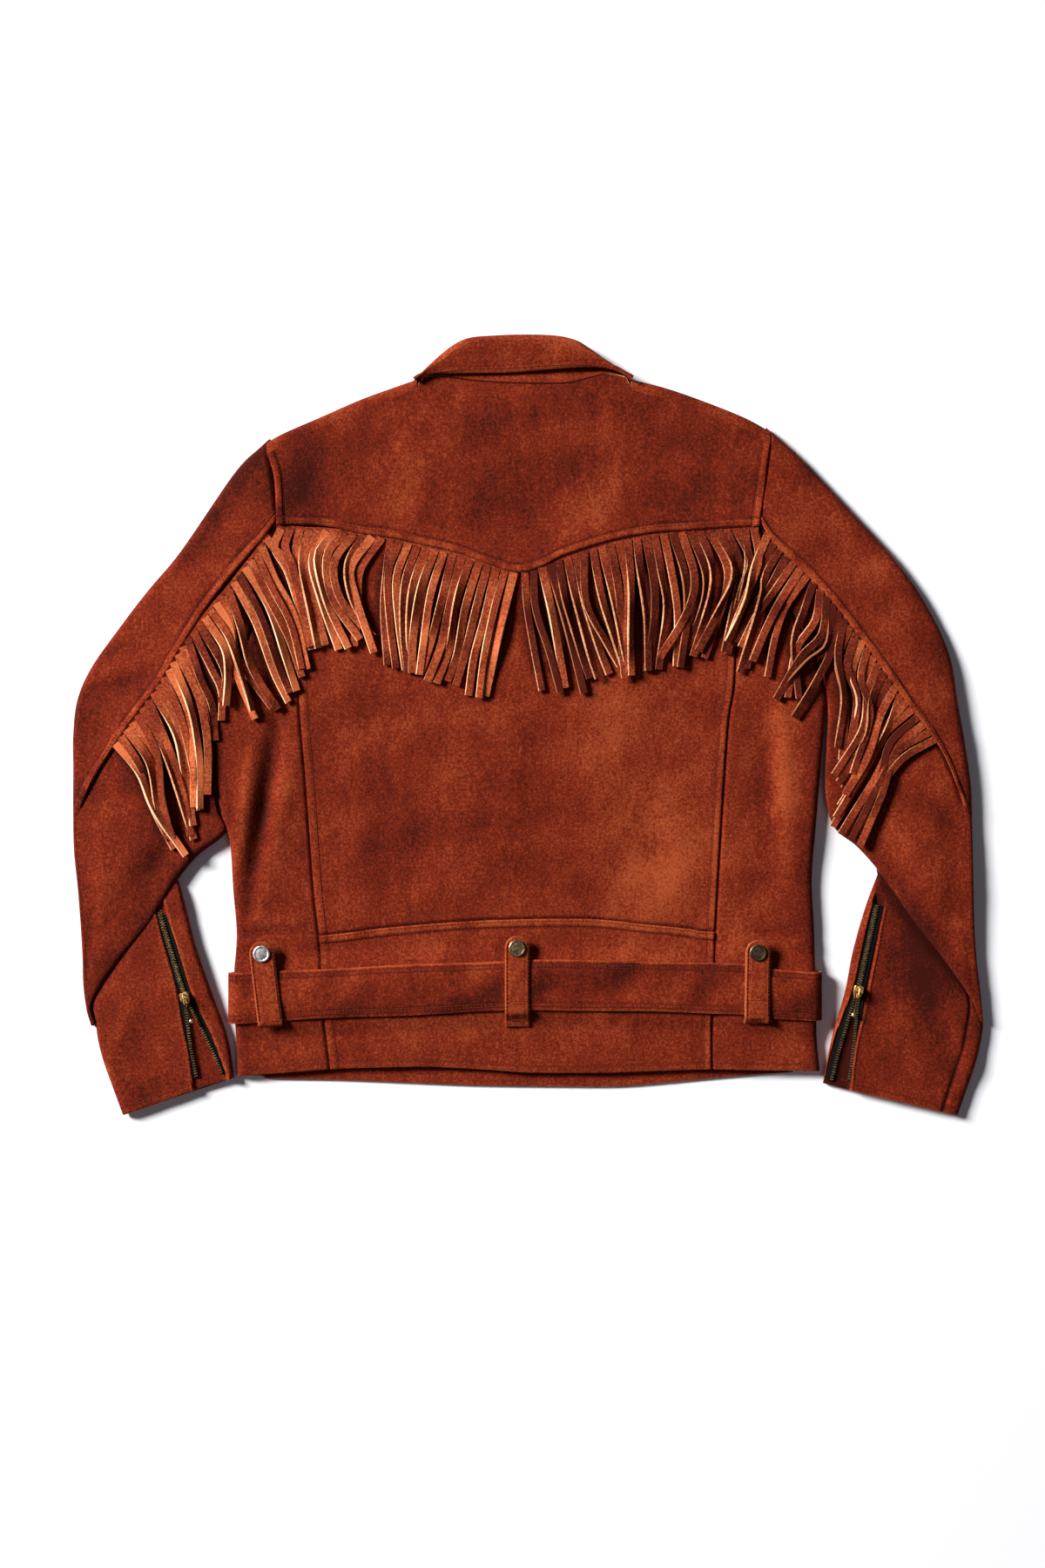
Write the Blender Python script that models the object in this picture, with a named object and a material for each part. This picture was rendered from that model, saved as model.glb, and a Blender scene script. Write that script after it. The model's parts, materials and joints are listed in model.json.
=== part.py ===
"""Fringed suede jacket cut like a motorcycle jacket, laid flat with its back up.

The jacket lies on its fronts: +Z is up from the surface, +X is to the right of someone who looks
down on the back, and +Y runs to the collar. The origin is the middle of the jacket's outline, on
the surface. Tables are in millimetres.
"""

import math

import bmesh
import bpy
import numpy as np

for old in list(bpy.data.objects):
    bpy.data.objects.remove(old, do_unlink=True)

# Driving dimensions, in millimetres
MM = 0.001
WALL = 2.4            # suede with its lining
LAYER_GAP = 3.6       # air between the back and the front where they lie on each other
FLAT = 2 * WALL + LAYER_GAP
SEAM = 0.3            # between two pieces at a seam
LAID = 0.6            # between a panel and what lies on it
HIDDEN_GAP = 2.0      # between the pieces that lie on the floor
COLLAR_GAP = 1.0      # between the collar's pieces, whose walls slope
FALL_LOW = 14.0       # collar's outer face at the fall's edge
FALL_HIGH = 15.2      # where the fall reaches the roll
ROLL_TOP = 16.0
STAND_LOW = 3.0       # underside of the collar where it turns to the stand
SHOULDER_SEAM = 3.0   # front carried over the shoulder's fold to the yoke
EDGE_ROUND = 7.0      # how far a folded edge rounds in, seen from above
CUFF_ROUND = 4.5      # the same at the forearm, where the zip lies close to the fold
SIDE_LAP = 24.0       # side panel carried under the body, to its seam with the front
LAP_TAPER = (100, 181)  # the lap narrows between these heights
UNDERARM_LAP = 17.0   # front's armhole inside the back's, at the yoke seam
SHOULDER_LAP = 5.0    # and at the shoulder
BELT_WIDTH = 45.0
BELT_THICK = 3.0
BELT_STAND = 5.5      # belt beyond the body's edge
BELT_RAMP = 14.0      # cloth rising to the belt that passes under the fronts
LOOP_WIDTH = 22.0
LOOP_THICK = 2.0
SNAP_DIAMETER = 15.3
STRIP_WIDTH = 5.0     # backing that the fringe is cut in one with
STRIP_THICK = 1.6
STRAND_THICK = 1.4
STRAND_LAID = 0.9     # between a panel and the strands
TAPE_WIDTH = 6.0      # one half of a cuff zip
TAPE_THICK = 0.8
CHAIN_WIDTH = 2.4
CHAIN_HEIGHT = 1.6
SLIDER_LENGTH = 11.0
SLIDER_WIDTH = 8.4
SLIDER_THICK = 2.0
PIVOT_HEIGHT = 1.6    # pull's pivot above the slider's plate
BRIDGE_WIDTH = 2.2
BRIDGE_FOOT = 4.0     # bridge's feet from the pivot, along the zip
BRIDGE_HEIGHT = 2.2   # its top above the pivot
BRIDGE_BAR = 1.0
BRIDGE_SUNK = 0.5     # its feet let into the plate
EYE_WIDTH = 6.0
EYE_LENGTH = 7.2
EYE_BAR = 1.2
PULL_LENGTH = 21.0    # pivot to the middle of the ball
ROD_DIAMETER = 1.8
BALL_DIAMETER = 4.4
PULL_TILT = 6.0       # pull slopes down to its ball, in degrees

# Outline of the body: x, y
SIDE_LEFT = [(-263, -318), (-265, -270), (-266, -226), (-264, -189), (-267, -150), (-270, -105),
             (-277, -85), (-284, -50), (-288, -22), (-284, 4), (-276, 28), (-259, 65),
             (-244, 102), (-234, 140), (-227, 181)]
SIDE_RIGHT = [(264, -313), (261, -277), (260, -230), (259, -184), (257, -140), (260, -97),
              (263, -62), (266, -28), (269, 7), (270, 27), (264, 49), (250, 81),
              (231, 112), (217, 143), (209, 180)]
PRINCESS_LEFT = [(-179, -310), (-184, -266), (-187, -218), (-189, -191), (-194, -147),
                 (-201, -52), (-206, 7), (-208, 50), (-207, 110), (-203, 181)]
PRINCESS_RIGHT = [(166, -312), (166, -259), (168, -213), (171, -147), (180, -6), (186, 37),
                  (188, 104), (187, 181)]
ARMHOLE_LEFT = [(-227, 181), (-229, 220), (-233, 237), (-239, 254)]
ARMHOLE_RIGHT = [(209, 180), (214, 214), (217, 240), (221, 264)]

# Seams and edges across the body: x, y
BACK_HEM = [(-268, -318), (-226, -314), (-184, -311), (-118, -309), (-82, -309), (-28, -312),
            (3, -314), (73, -314), (165, -311), (228, -312), (268, -313)]
FRONT_HEM = [(-268, -318), (-231, -320), (-172, -321), (-99, -324), (-46, -326), (26, -327),
             (79, -327), (121, -324), (173, -319), (228, -315), (268, -313)]
BELT_LINE = [(-275, -248), (-223, -244), (-22, -235), (6, -234), (193, -238), (219, -242),
             (275, -246)]
WAIST_SEAM = [(-290, -195), (-188, -190), (-136, -184), (-82, -179), (-28, -176), (52, -175),
              (106, -180), (145, -184), (169, -187), (290, -192)]
YOKE_SEAM = [(-240, 181), (-204, 181), (-178, 179), (-150, 173), (-122, 169), (-94, 163),
             (-68, 157), (-50, 151), (-32, 144), (-8, 138), (14, 144), (29, 152), (58, 162),
             (84, 169), (114, 174), (144, 176), (187, 179), (225, 180)]
SHOULDER_LEFT = [(-239, 254), (-222, 264), (-188, 279), (-149, 296), (-101, 313)]
SHOULDER_RIGHT = [(94, 313), (129, 304), (168, 290), (199, 277), (221, 264)]
NECK_SEAM = [(-101, 313), (-84, 315), (-69, 314), (-45, 311), (-15, 309), (33, 309), (55, 314),
             (71, 317), (94, 313)]
FRONT_NECK_LEFT = [(-1, 272), (-40, 277), (-75, 292), (-99, 306)]
FRONT_NECK_RIGHT = [(76, 284), (82, 291), (88, 298), (93, 306)]
PLACKET = (-1, 75)    # the front closure's two edges, x

# Collar: x, y
COLLAR_TOP = [(-92, 322), (-72, 340), (-58, 347), (-36, 352), (-15, 353), (9, 353), (40, 350),
              (51, 345), (63, 337), (79, 327)]
COLLAR_LOW = [(-97, 315), (-84, 319), (-45, 320), (-7, 320), (25, 323), (63, 324), (87, 318)]

# Upper sleeves, a row for each section from the elbow's fold to the armhole:
# outer fold x, y, fringe seam x, y, inner fold x, y
SLEEVE_LEFT = [
    (-403, -240, -396, -239, -388, -238),
    (-404, -202, -392, -206, -371, -213),
    (-407, -155, -395, -160, -344, -180),
    (-411, -116, -399, -121, -318, -141),
    (-412, -77, -400, -83, -299, -118),
    (-412, -40, -392, -47, -275, -96),
    (-412, -8, -372, -17, -286, -75),
    (-408, 24, -352, 11, -293, -24),
    (-395, 53, -333, 36, -287, 8),
    (-371, 87, -312, 71, -274, 42),
    (-345, 121, -292, 103, -258, 76),
    (-315, 157, -268, 135, -246, 107),
    (-266, 228, -242, 165, -235, 150),
    (-240, 254, -229, 182, -228, 181),
]
SLEEVE_RIGHT = [
    (409, -240, 402, -239, 394, -238),
    (406, -210, 394, -212, 376, -214),
    (404, -180, 392, -180, 347, -178),
    (403, -140, 391, -138, 317, -134),
    (403, -100, 391, -92, 300, -112),
    (401, -57, 382, -38, 284, -90),
    (396, -20, 366, -12, 281, -58),
    (389, 20, 345, 15, 280, -18),
    (381, 65, 322, 47, 280, 12),
    (361, 108, 297, 82, 275, 46),
    (334, 147, 272, 114, 261, 78),
    (298, 187, 248, 140, 237, 112),
    (250, 238, 222, 164, 217, 152),
    (222, 264, 211, 181, 210, 180),
]
# Forearms, a row for each section from the cuff to the elbow's fold:
# outer fold x, y, zip x, y, inner fold x, y
FOREARM_LEFT = [
    (-367, -353, -287, -325, -266, -319),
    (-377, -326, -295, -292, -272, -283),
    (-385, -303, -305, -262, -285, -246),
    (-390, -283, -318, -216, -301, -200),
    (-396, -267, -326, -190, -309, -168),
    (-398, -255, -333, -166, -316, -143),
]
FOREARM_RIGHT = [
    (389, -353, 279, -327, 267, -324),
    (399, -325, 286, -288, 275, -283),
    (407, -300, 299, -246, 287, -241),
    (412, -278, 307, -210, 294, -205),
    (413, -270, 315, -173, 305, -166),
    (410.2, -258.5, 321.4, -147.0, 315.4, -139.0),
]
FOREARM_SEAM = 0.13   # seam beside the outer fold, as a share of the way to the zip

# Fringe, a row for each of some strands along a seam: root x, y, tip x, y
FRINGE = {
    "yoke_fringe_left": (34, 4.2, [
        (-216, 177, -197, 68), (-190, 176, -180, 66), (-150, 169, -150, 62),
        (-110, 162, -116, 50), (-80, 156, -91, 42), (-50, 147, -66, 32), (-15, 137, -37, 22)]),
    "yoke_fringe_right": (34, 4.2, [
        (0, 137, 12, 27), (30, 149, 46, 40), (60, 159, 78, 46), (100, 168, 116, 54),
        (140, 172, 152, 58), (170, 174, 178, 62), (199, 176, 200, 66)]),
    "sleeve_fringe_left": (38, 2.7, [
        (-240, 163, -216, 32), (-262, 136, -240, 20), (-290, 98, -262, -8),
        (-314, 62, -277, -44), (-338, 26, -293, -79), (-373, -21, -316, -120)]),
    "sleeve_fringe_right": (38, 2.7, [
        (219, 163, 210, 26), (243, 136, 232, 18), (273, 105, 254, -2),
        (297, 77, 270, -40), (322, 40, 283, -80), (367, -17, 294, -106)]),
}

# Swells of the cloth over what lies under it: x, y, direction in degrees, length, width, rise
SWELLS = [
    (-5, 300, 0, 90, 45, 3.0),
    (-235, 215, 80, 55, 40, 3.0),
    (218, 220, 98, 55, 40, 3.0),
    (-320, 50, 62, 130, 48, 5.0),
    (330, 55, 118, 130, 48, 5.0),
    (-372, -130, 78, 70, 38, 4.5),
    (366, -130, 98, 70, 38, 4.5),
    (-268, -60, 92, 120, 38, 2.5),
    (258, -50, 90, 120, 38, 2.5),
    (0, 230, 0, 150, 60, 1.6),
    (-5, -60, 90, 130, 90, 1.2),
]

# Snap studs on the belt loops and the loops' lower ends: x, y of each
BELT_LOOPS = {"left": (-240, -206, -232, -272), "centre": (-10, -201, -10, -272),
              "right": (207, -205, 206, -269)}
LOOP_HEAD = 11.0      # stud's middle below the loop's rounded top

# Cuff zips: x, y of the top stop, the slider and both rows' ends at the cuff
CUFF_ZIPS = {
    "left": ((-332, -177), (-310, -247), (-299, -318), (-277, -316)),
    "right": ((315, -162), (298, -241), (275, -322), (289, -322)),
}

# Finishes: red, green, blue, roughness, metallic
FINISHES = {
    "suede": (0.20, 0.035, 0.014, 0.95, 0.0),
    "cut_suede": (0.34, 0.10, 0.035, 0.95, 0.0),
    "zip_tape": (0.02, 0.02, 0.018, 0.9, 0.0),
    "brass": (0.45, 0.30, 0.10, 0.38, 1.0),
    "bronze": (0.22, 0.17, 0.11, 0.4, 1.0),
}


def unit(v):
    return v / np.maximum(np.linalg.norm(v, axis=-1, keepdims=True), 1e-9)


def soft_curve(points, per_span=12):
    """A dense curve that runs softly through every point."""
    p = np.array(points, float)
    p = np.vstack([2 * p[0] - p[1], p, 2 * p[-1] - p[-2]])
    out = []
    for a, b, c, d in zip(p[:-3], p[1:-2], p[2:-1], p[3:]):
        for t in np.arange(per_span) / per_span:
            out.append(0.5 * (2 * b + (c - a) * t + (2 * a - 5 * b + 4 * c - d) * t ** 2
                              + (3 * b - a - 3 * c + d) * t ** 3))
    return np.array(out + [p[-2]])


def measured(dense, count):
    """Points an even length apart along a line."""
    run = np.concatenate([[0], np.cumsum(np.linalg.norm(np.diff(dense, axis=0), axis=1))])
    at = np.linspace(0, run[-1], count)
    return np.stack([np.interp(at, run, dense[:, k]) for k in range(dense.shape[1])], axis=1)


def spaced(points, count):
    return measured(soft_curve(points), count)


def x_at(points):
    """The curve's x as a function of y."""
    dense = soft_curve(points)
    order = np.argsort(dense[:, 1])
    return lambda y: np.interp(y, dense[order, 1], dense[order, 0])


def y_at(points):
    """The curve's y as a function of x."""
    dense = soft_curve(points)
    order = np.argsort(dense[:, 0])
    return lambda x: np.interp(x, dense[order, 0], dense[order, 1])


side_left, side_right = x_at(SIDE_LEFT), x_at(SIDE_RIGHT)
princess_left, princess_right = x_at(PRINCESS_LEFT), x_at(PRINCESS_RIGHT)
armhole_left, armhole_right = x_at(ARMHOLE_LEFT), x_at(ARMHOLE_RIGHT)
back_hem, front_hem = y_at(BACK_HEM), y_at(FRONT_HEM)
belt_line, waist_seam, yoke_seam = y_at(BELT_LINE), y_at(WAIST_SEAM), y_at(YOKE_SEAM)


def rise(x, y):
    """How far the cloth swells above its flat height."""
    total = np.zeros(np.shape(x))
    for cx, cy, turn, length, width, high in SWELLS:
        c, s = math.cos(math.radians(turn)), math.sin(math.radians(turn))
        along = ((x - cx) * c + (y - cy) * s) / length
        across = ((y - cy) * c - (x - cx) * s) / width
        total = total + high * np.exp(-along ** 2 - across ** 2)
    return total


def body_low(x, y):
    """Underside of the fronts, which rise over the belt that passes under them."""
    off = np.abs(y - belt_line(x))
    near = BELT_WIDTH / 2 + 2
    return np.interp(off, [near, near + BELT_RAMP], [BELT_THICK + LAID, 0])


def body_top(x, y):
    return FLAT + rise(x, y) + body_low(x, y)


def sleeve_low(x, y):
    return np.zeros(np.shape(x))


def sleeve_top(x, y):
    return FLAT + rise(x, y)


def raised(xy, height):
    return np.dstack([xy, height(xy[..., 0], xy[..., 1])])


def parted(grid, sides):
    """Draws the named sides in by half a seam."""
    g = np.array(grid)
    for side in sides:
        if side == "left":
            g[:, 0] += unit(g[:, 1] - g[:, 0]) * SEAM / 2
        if side == "right":
            g[:, -1] += unit(g[:, -2] - g[:, -1]) * SEAM / 2
        if side == "low":
            g[0] += unit(g[1] - g[0]) * SEAM / 2
        if side == "high":
            g[-1] += unit(g[-2] - g[-1]) * SEAM / 2
    return g


def across(a, b, count):
    """Rows of points from one rail to the other."""
    u = np.linspace(0, 1, count)[None, :, None]
    return a[:, None] * (1 - u) + b[:, None] * u


def rounded(edge, inner, depth, top, low, count=3):
    """A folded edge from the top face over and under: its points, then where it starts and ends.

    edge is the outline, inner a line to its inside that each row runs towards.
    """
    along = unit(np.gradient(edge, axis=0))
    inward = unit(inner - edge)
    slant = np.abs(along[:, 0] * inward[:, 1] - along[:, 1] * inward[:, 0])
    reach = inward * (depth / np.maximum(slant, 0.5))[:, None]
    start = edge + reach
    high, base = top(start[:, 0], start[:, 1]), low(start[:, 0], start[:, 1])
    points = []
    for k in range(1, count + 1):
        turn = math.pi * k / (count + 1)
        xy = edge + reach * (1 - math.sin(turn))
        z = (high + base) / 2 + (high - base) / 2 * math.cos(turn)
        points.append(np.column_stack([xy, z]))
    return np.stack(points, axis=1), start


def folded_left(edge, seam, under, cols, depth, top, low):
    """A panel from a seam on its top face, round a fold on its left, to a seam underneath."""
    nose, start = rounded(edge, seam, depth, top, low)
    upper = raised(across(start, seam, cols), top)
    lower = raised(across(under, start, 3), low)
    return np.concatenate([lower, nose[:, ::-1], upper], axis=1)


def folded_right(edge, seam, under, cols, depth, top, low):
    nose, start = rounded(edge, seam, depth, top, low)
    upper = raised(across(seam, start, cols), top)
    lower = raised(across(start, under, 3), low)
    return np.concatenate([upper, nose, lower], axis=1)


def finish(obj, kind):
    red, green, blue, rough, metal = FINISHES[kind]
    mat = bpy.data.materials.new(obj.name + "_" + kind)
    mat.use_nodes = True
    shader = mat.node_tree.nodes["Principled BSDF"]
    shader.inputs["Base Color"].default_value = (red, green, blue, 1)
    shader.inputs["Roughness"].default_value = rough
    shader.inputs["Metallic"].default_value = metal
    obj.data.materials.append(mat)


def make_object(name, points, faces, kind, smooth=True):
    mesh = bpy.data.meshes.new(name)
    mesh.from_pydata([tuple(p) for p in np.array(points) * MM], [], faces)
    bm = bmesh.new()
    bm.from_mesh(mesh)
    bmesh.ops.recalc_face_normals(bm, faces=bm.faces)
    bm.to_mesh(mesh)
    bm.free()
    if smooth:
        mesh.shade_smooth()
        mesh.set_sharp_from_angle(angle=math.radians(40))
    obj = bpy.data.objects.new(name, mesh)
    bpy.context.scene.collection.objects.link(obj)
    finish(obj, kind)
    return obj


def cloth(name, outer, wall=WALL, kind="suede", ring=False, upright=False):
    """A wall of cloth inside a grid of outer points; ring joins its last column to its first."""
    rows, cols = outer.shape[:2]
    if ring:
        step = np.roll(outer, -1, axis=1) - np.roll(outer, 1, axis=1)
    else:
        step = np.gradient(outer, axis=1)
    facing = unit(np.cross(step, np.gradient(outer, axis=0)))
    if upright:
        facing = np.array([0, 0, 1.0])
    points = np.concatenate([outer.reshape(-1, 3), (outer - facing * wall).reshape(-1, 3)])
    half = rows * cols
    spans = cols if ring else cols - 1
    faces = []
    for r in range(rows - 1):
        for c in range(spans):
            n = (c + 1) % cols
            a, b, d, e = r * cols + c, r * cols + n, (r + 1) * cols + n, (r + 1) * cols + c
            faces += [(a, b, d, e), (half + e, half + d, half + b, half + a)]
    for c in range(spans):
        n = (c + 1) % cols
        top = (rows - 1) * cols
        faces += [(n, c, half + c, half + n), (top + c, top + n, half + top + n, half + top + c)]
    if not ring:
        for r in range(rows - 1):
            a, b = r * cols, (r + 1) * cols
            z, y = a + cols - 1, b + cols - 1
            faces += [(a, b, half + b, half + a), (y, z, half + z, half + y)]
    return make_object(name, points, faces, kind)


def slab(name, low_face, thick, kind="suede"):
    """A strip that lies on something: a grid of points underneath and the same ones above."""
    return cloth(name, low_face + np.array([0, 0, thick]), thick, kind, upright=True)


# Rows of the body, from the hem to the yoke seam, as lines y(x)
NEAR_BELT = BELT_WIDTH / 2 + 2
LOWER_ROWS = [
    lambda x: back_hem(x),
    lambda x: belt_line(x) - NEAR_BELT - BELT_RAMP,
    lambda x: belt_line(x) - NEAR_BELT,
    lambda x: belt_line(x) + NEAR_BELT,
    lambda x: belt_line(x) + NEAR_BELT + BELT_RAMP,
    lambda x: waist_seam(x),
]
UPPER_STEPS = 7


def between(low, high, share):
    return lambda x: low(x) * (1 - share) + high(x) * share


UPPER_ROWS = [between(waist_seam, yoke_seam, k / UPPER_STEPS) for k in range(UPPER_STEPS + 1)]


def crossing(rail, line, guess=0.0):
    """Where an upright rail x(y) meets a line y(x)."""
    y = line(guess)
    for _ in range(8):
        y = line(rail(y))
    return np.array([rail(y), y])


def rail_points(rail, lines, guess):
    return np.array([crossing(rail, line, guess) for line in lines])


def body_grid(rail_a, rail_b, lines, shares):
    """Points where lines across the body meet uprights, given as shares of the way between rails."""
    grid = []
    for line in lines:
        row = []
        for u in shares:
            row.append(crossing(lambda y: rail_a(y) * (1 - u) + rail_b(y) * u, line))
        grid.append(row)
    return np.array(grid)


# Uprights where they cross the yoke seam: from one princess seam to the point and to the other
YOKE_POINT = -8
SEAM_X = np.concatenate([np.linspace(PRINCESS_LEFT[-1][0], YOKE_POINT, 11),
                         np.linspace(YOKE_POINT, PRINCESS_RIGHT[-1][0], 11)[1:]])
CENTRE_SHARES = (SEAM_X - SEAM_X[0]) / (SEAM_X[-1] - SEAM_X[0])
YOKE_ENDS = (ARMHOLE_LEFT[0][0], ARMHOLE_RIGHT[0][0])
YOKE_X = np.concatenate([[YOKE_ENDS[0], (YOKE_ENDS[0] + SEAM_X[0]) / 2], SEAM_X,
                         [(YOKE_ENDS[1] + SEAM_X[-1]) / 2, YOKE_ENDS[1]]])
YOKE_SHARES = (YOKE_X - YOKE_ENDS[0]) / (YOKE_ENDS[1] - YOKE_ENDS[0])


def back_panels():
    centre = body_grid(princess_left, princess_right, UPPER_ROWS, CENTRE_SHARES)
    waist = body_grid(princess_left, princess_right, LOWER_ROWS, CENTRE_SHARES)
    cloth("back_centre", raised(parted(centre, ["left", "right", "low", "high"]), body_top))
    cloth("back_waist", raised(parted(waist, ["left", "right", "high"]), body_top))
    lines = LOWER_ROWS + UPPER_ROWS[1:]
    for name, edge, princess, turn in (("left", side_left, princess_left, 1),
                                       ("right", side_right, princess_right, -1)):
        rim = rail_points(edge, lines, -260 * turn)
        seam = rail_points(princess, lines, -190 * turn)
        lap = np.interp(rim[:, 1], LAP_TAPER, [SIDE_LAP, EDGE_ROUND + 6]) - HIDDEN_GAP * 2
        under = np.column_stack([rim[:, 0] + lap * turn, rim[:, 1]])
        fold = folded_left if turn > 0 else folded_right
        grid = fold(rim, seam, under, 5, EDGE_ROUND, body_top, body_low)
        cloth("side_back_" + name, parted(grid, ["left", "right", "high"]))


def shoulder_fold(edge):
    """The fold round a shoulder: its rounded points and the line where the yoke ends."""
    return rounded(edge, edge + np.array([0, -30.0]), EDGE_ROUND, body_top, body_low)


YOKE_TOP = np.vstack([shoulder_fold(soft_curve(SHOULDER_LEFT))[1] - [0, SHOULDER_SEAM + SEAM * 2],
                      soft_curve(NECK_SEAM)[6:-6],
                      shoulder_fold(soft_curve(SHOULDER_RIGHT))[1] - [0, SHOULDER_SEAM + SEAM * 2]])
YOKE_STEPS = 5


def yoke_top(x):
    return np.interp(x, YOKE_TOP[:, 0], YOKE_TOP[:, 1])


def yoke():
    """The back yoke, from its pointed seam to the shoulders and the neck."""
    lines = [between(yoke_seam, yoke_top, k / YOKE_STEPS) for k in range(YOKE_STEPS + 1)]
    grid = body_grid(armhole_left, armhole_right, lines, YOKE_SHARES)
    sides = ["left", "right", "low", "high"]
    cloth("back_yoke", raised(parted(grid, sides), body_top))
    return grid[-1]


def front(name, rail, closure, neck, shoulder, turn):
    """A front on the floor, turned up round the shoulder to meet the yoke."""
    lines = [front_hem] + LOWER_ROWS[1:5]
    sides = [crossing(rail, line, -250 * turn) for line in lines]
    middles = [np.array([closure, line(closure)]) for line in lines]
    top = spaced(shoulder, 7)
    if turn < 0:
        top = top[::-1]
    top[0] += unit(top[1] - top[0]) * HIDDEN_GAP * 1.5
    top[-1] += unit(top[-2] - top[-1]) * HIDDEN_GAP * 4
    start_y, end_y = sides[-1][1], top[0][1]
    mid_line = measured(np.vstack([middles[-1], soft_curve(neck)]), 10)
    for k in range(1, 10):
        y = start_y + (end_y - start_y) * k / 9
        sides.append(np.array([rail(y), y]))
        middles.append(mid_line[k])
    flat = across(np.array(sides), np.array(middles), 7)
    for r, line in enumerate(lines):
        flat[r, :, 1] = line(flat[r, :, 0])
    nose, start = shoulder_fold(top)
    flat[-1] = start
    lower = raised(flat, body_low)
    upper = raised(np.stack([start, start - [0, SHOULDER_SEAM]]), body_top)
    grid = np.concatenate([lower, nose[:, ::-1].transpose(1, 0, 2), upper])
    if turn > 0:
        grid = grid[:, ::-1]
    cloth(name, parted(grid, ["left", "right", "high"]))


def front_rail(edge, armhole, turn):
    """The front's side seam, then its armhole."""
    def rail(y):
        if y <= LAP_TAPER[0]:
            return edge(y) + turn * SIDE_LAP
        return np.interp(y, [LAP_TAPER[0], LAP_TAPER[1], 254],
                         [edge(LAP_TAPER[0]) + turn * SIDE_LAP,
                          armhole(LAP_TAPER[1]) + turn * UNDERARM_LAP,
                          armhole(254) + turn * SHOULDER_LAP])
    return rail


def fronts():
    front("front_left", front_rail(side_left, armhole_left, 1), PLACKET[0],
          FRONT_NECK_LEFT, SHOULDER_LEFT, 1)
    front("front_right", front_rail(side_right, armhole_right, -1), PLACKET[1],
          FRONT_NECK_RIGHT, SHOULDER_RIGHT, -1)
    lines = [front_hem] + LOWER_ROWS[1:5]
    lines += [lambda x, k=k: -190 + 92 * k + 0 * x for k in range(1, 5)]
    lines += [lambda x: np.interp(x, PLACKET, [272, 284])]
    xs = np.linspace(PLACKET[0], PLACKET[1], 4)
    flat = np.array([[(x, float(line(x))) for x in xs] for line in lines])
    grid = raised(flat, body_low)[:, ::-1]
    cloth("front_placket", parted(grid, ["left", "right"]))


def collar(neck_row):
    """The neck's stand, the fall that rolls over it, and the front half flat beneath."""
    cols = 13
    low, top = spaced(COLLAR_LOW, cols), spaced(COLLAR_TOP, cols)
    depth = np.minimum(EDGE_ROUND - 1, np.linalg.norm(top - low, axis=1) * 0.3)
    nose, start = rounded(top, low, depth, lambda x, y: ROLL_TOP + 0 * x,
                          lambda x, y: STAND_LOW + 0 * x)
    rows = []
    for k in range(4):
        share = k / 4
        xy = low * (1 - share) + start * share
        rows.append(np.column_stack([xy, np.full(cols, FALL_LOW + (FALL_HIGH - FALL_LOW) * share)]))
    rows.append(np.column_stack([start, np.full(cols, ROLL_TOP)]))
    rows += [nose[:, k] for k in range(nose.shape[1])]
    rows.append(np.column_stack([start, np.full(cols, STAND_LOW)]))
    lap = start * 0.75 + low * 0.25
    rows.append(np.column_stack([lap, np.full(cols, STAND_LOW)]))
    cloth("collar_fall", parted(np.array(rows), ["high"]))
    inside = (neck_row[:, 0] > lap[0, 0] + 14) & (neck_row[:, 0] < lap[-1, 0] - 18)
    neck = neck_row[inside] + [0, COLLAR_GAP]
    high = np.column_stack([neck[:, 0], np.interp(neck[:, 0], lap[:, 0], lap[:, 1]) - 1.0])
    rows = []
    for k in range(5):
        share = k / 4
        xy = neck * (1 - share) + high * share
        z = body_top(neck[:, 0], neck[:, 1]) * (1 - share) + (STAND_LOW + WALL) * share
        rows.append(np.column_stack([xy, z]))
    cloth("collar_stand", parted(np.array(rows), ["low"]))
    necks = np.vstack([soft_curve(FRONT_NECK_LEFT)[::-1], soft_curve(FRONT_NECK_RIGHT)])
    neck_xy = measured(necks, cols) + [0, HIDDEN_GAP * 1.3]
    outline = np.array(top) + [0, -3.0]
    flat = across(neck_xy, outline, 5).transpose(1, 0, 2)[:, ::-1]
    cloth("collar_front", raised(flat, sleeve_low))


def belt():
    """One band round the waist, over the back and under the fronts."""
    left = side_left(belt_line(-270)) - BELT_STAND
    right = side_right(belt_line(270)) + BELT_STAND
    depth = EDGE_ROUND + 4
    xs = np.linspace(left + depth, right - depth, 25)
    turns = [math.pi * k / 6 for k in range(1, 6)]
    rows = []
    for off in (-BELT_WIDTH / 2, BELT_WIDTH / 2):
        def over(x):
            return float(body_top(x, belt_line(x) + off)) + LAID + BELT_THICK
        top = [(x, belt_line(x) + off, over(x)) for x in xs]
        ring = list(top)
        for t in turns:
            x, high = xs[-1] + depth * math.sin(t), over(xs[-1])
            ring.append((x, belt_line(x) + off, high / 2 * (1 + math.cos(t))))
        ring += [(x, belt_line(x) + off, 0.0) for x in xs[::-1]]
        for t in turns[::-1]:
            x, high = xs[0] - depth * math.sin(t), over(xs[0])
            ring.append((x, belt_line(x) + off, high / 2 * (1 + math.cos(t))))
        rows.append(ring)
    cloth("belt", np.array(rows), BELT_THICK, ring=True)


def over_belt(x, y):
    """Height just above the body and the belt, level from the belt to the loop's head."""
    below = belt_line(x) - y
    near = BELT_WIDTH / 2
    cloth_rise = np.interp(below, [NEAR_BELT, NEAR_BELT + BELT_RAMP], [BELT_THICK + LAID, 0])
    band = np.interp(below, [near + 3, near + 9], [BELT_THICK + LAID, 0])
    return FLAT + rise(x, y) + cloth_rise + LAID + band


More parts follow.
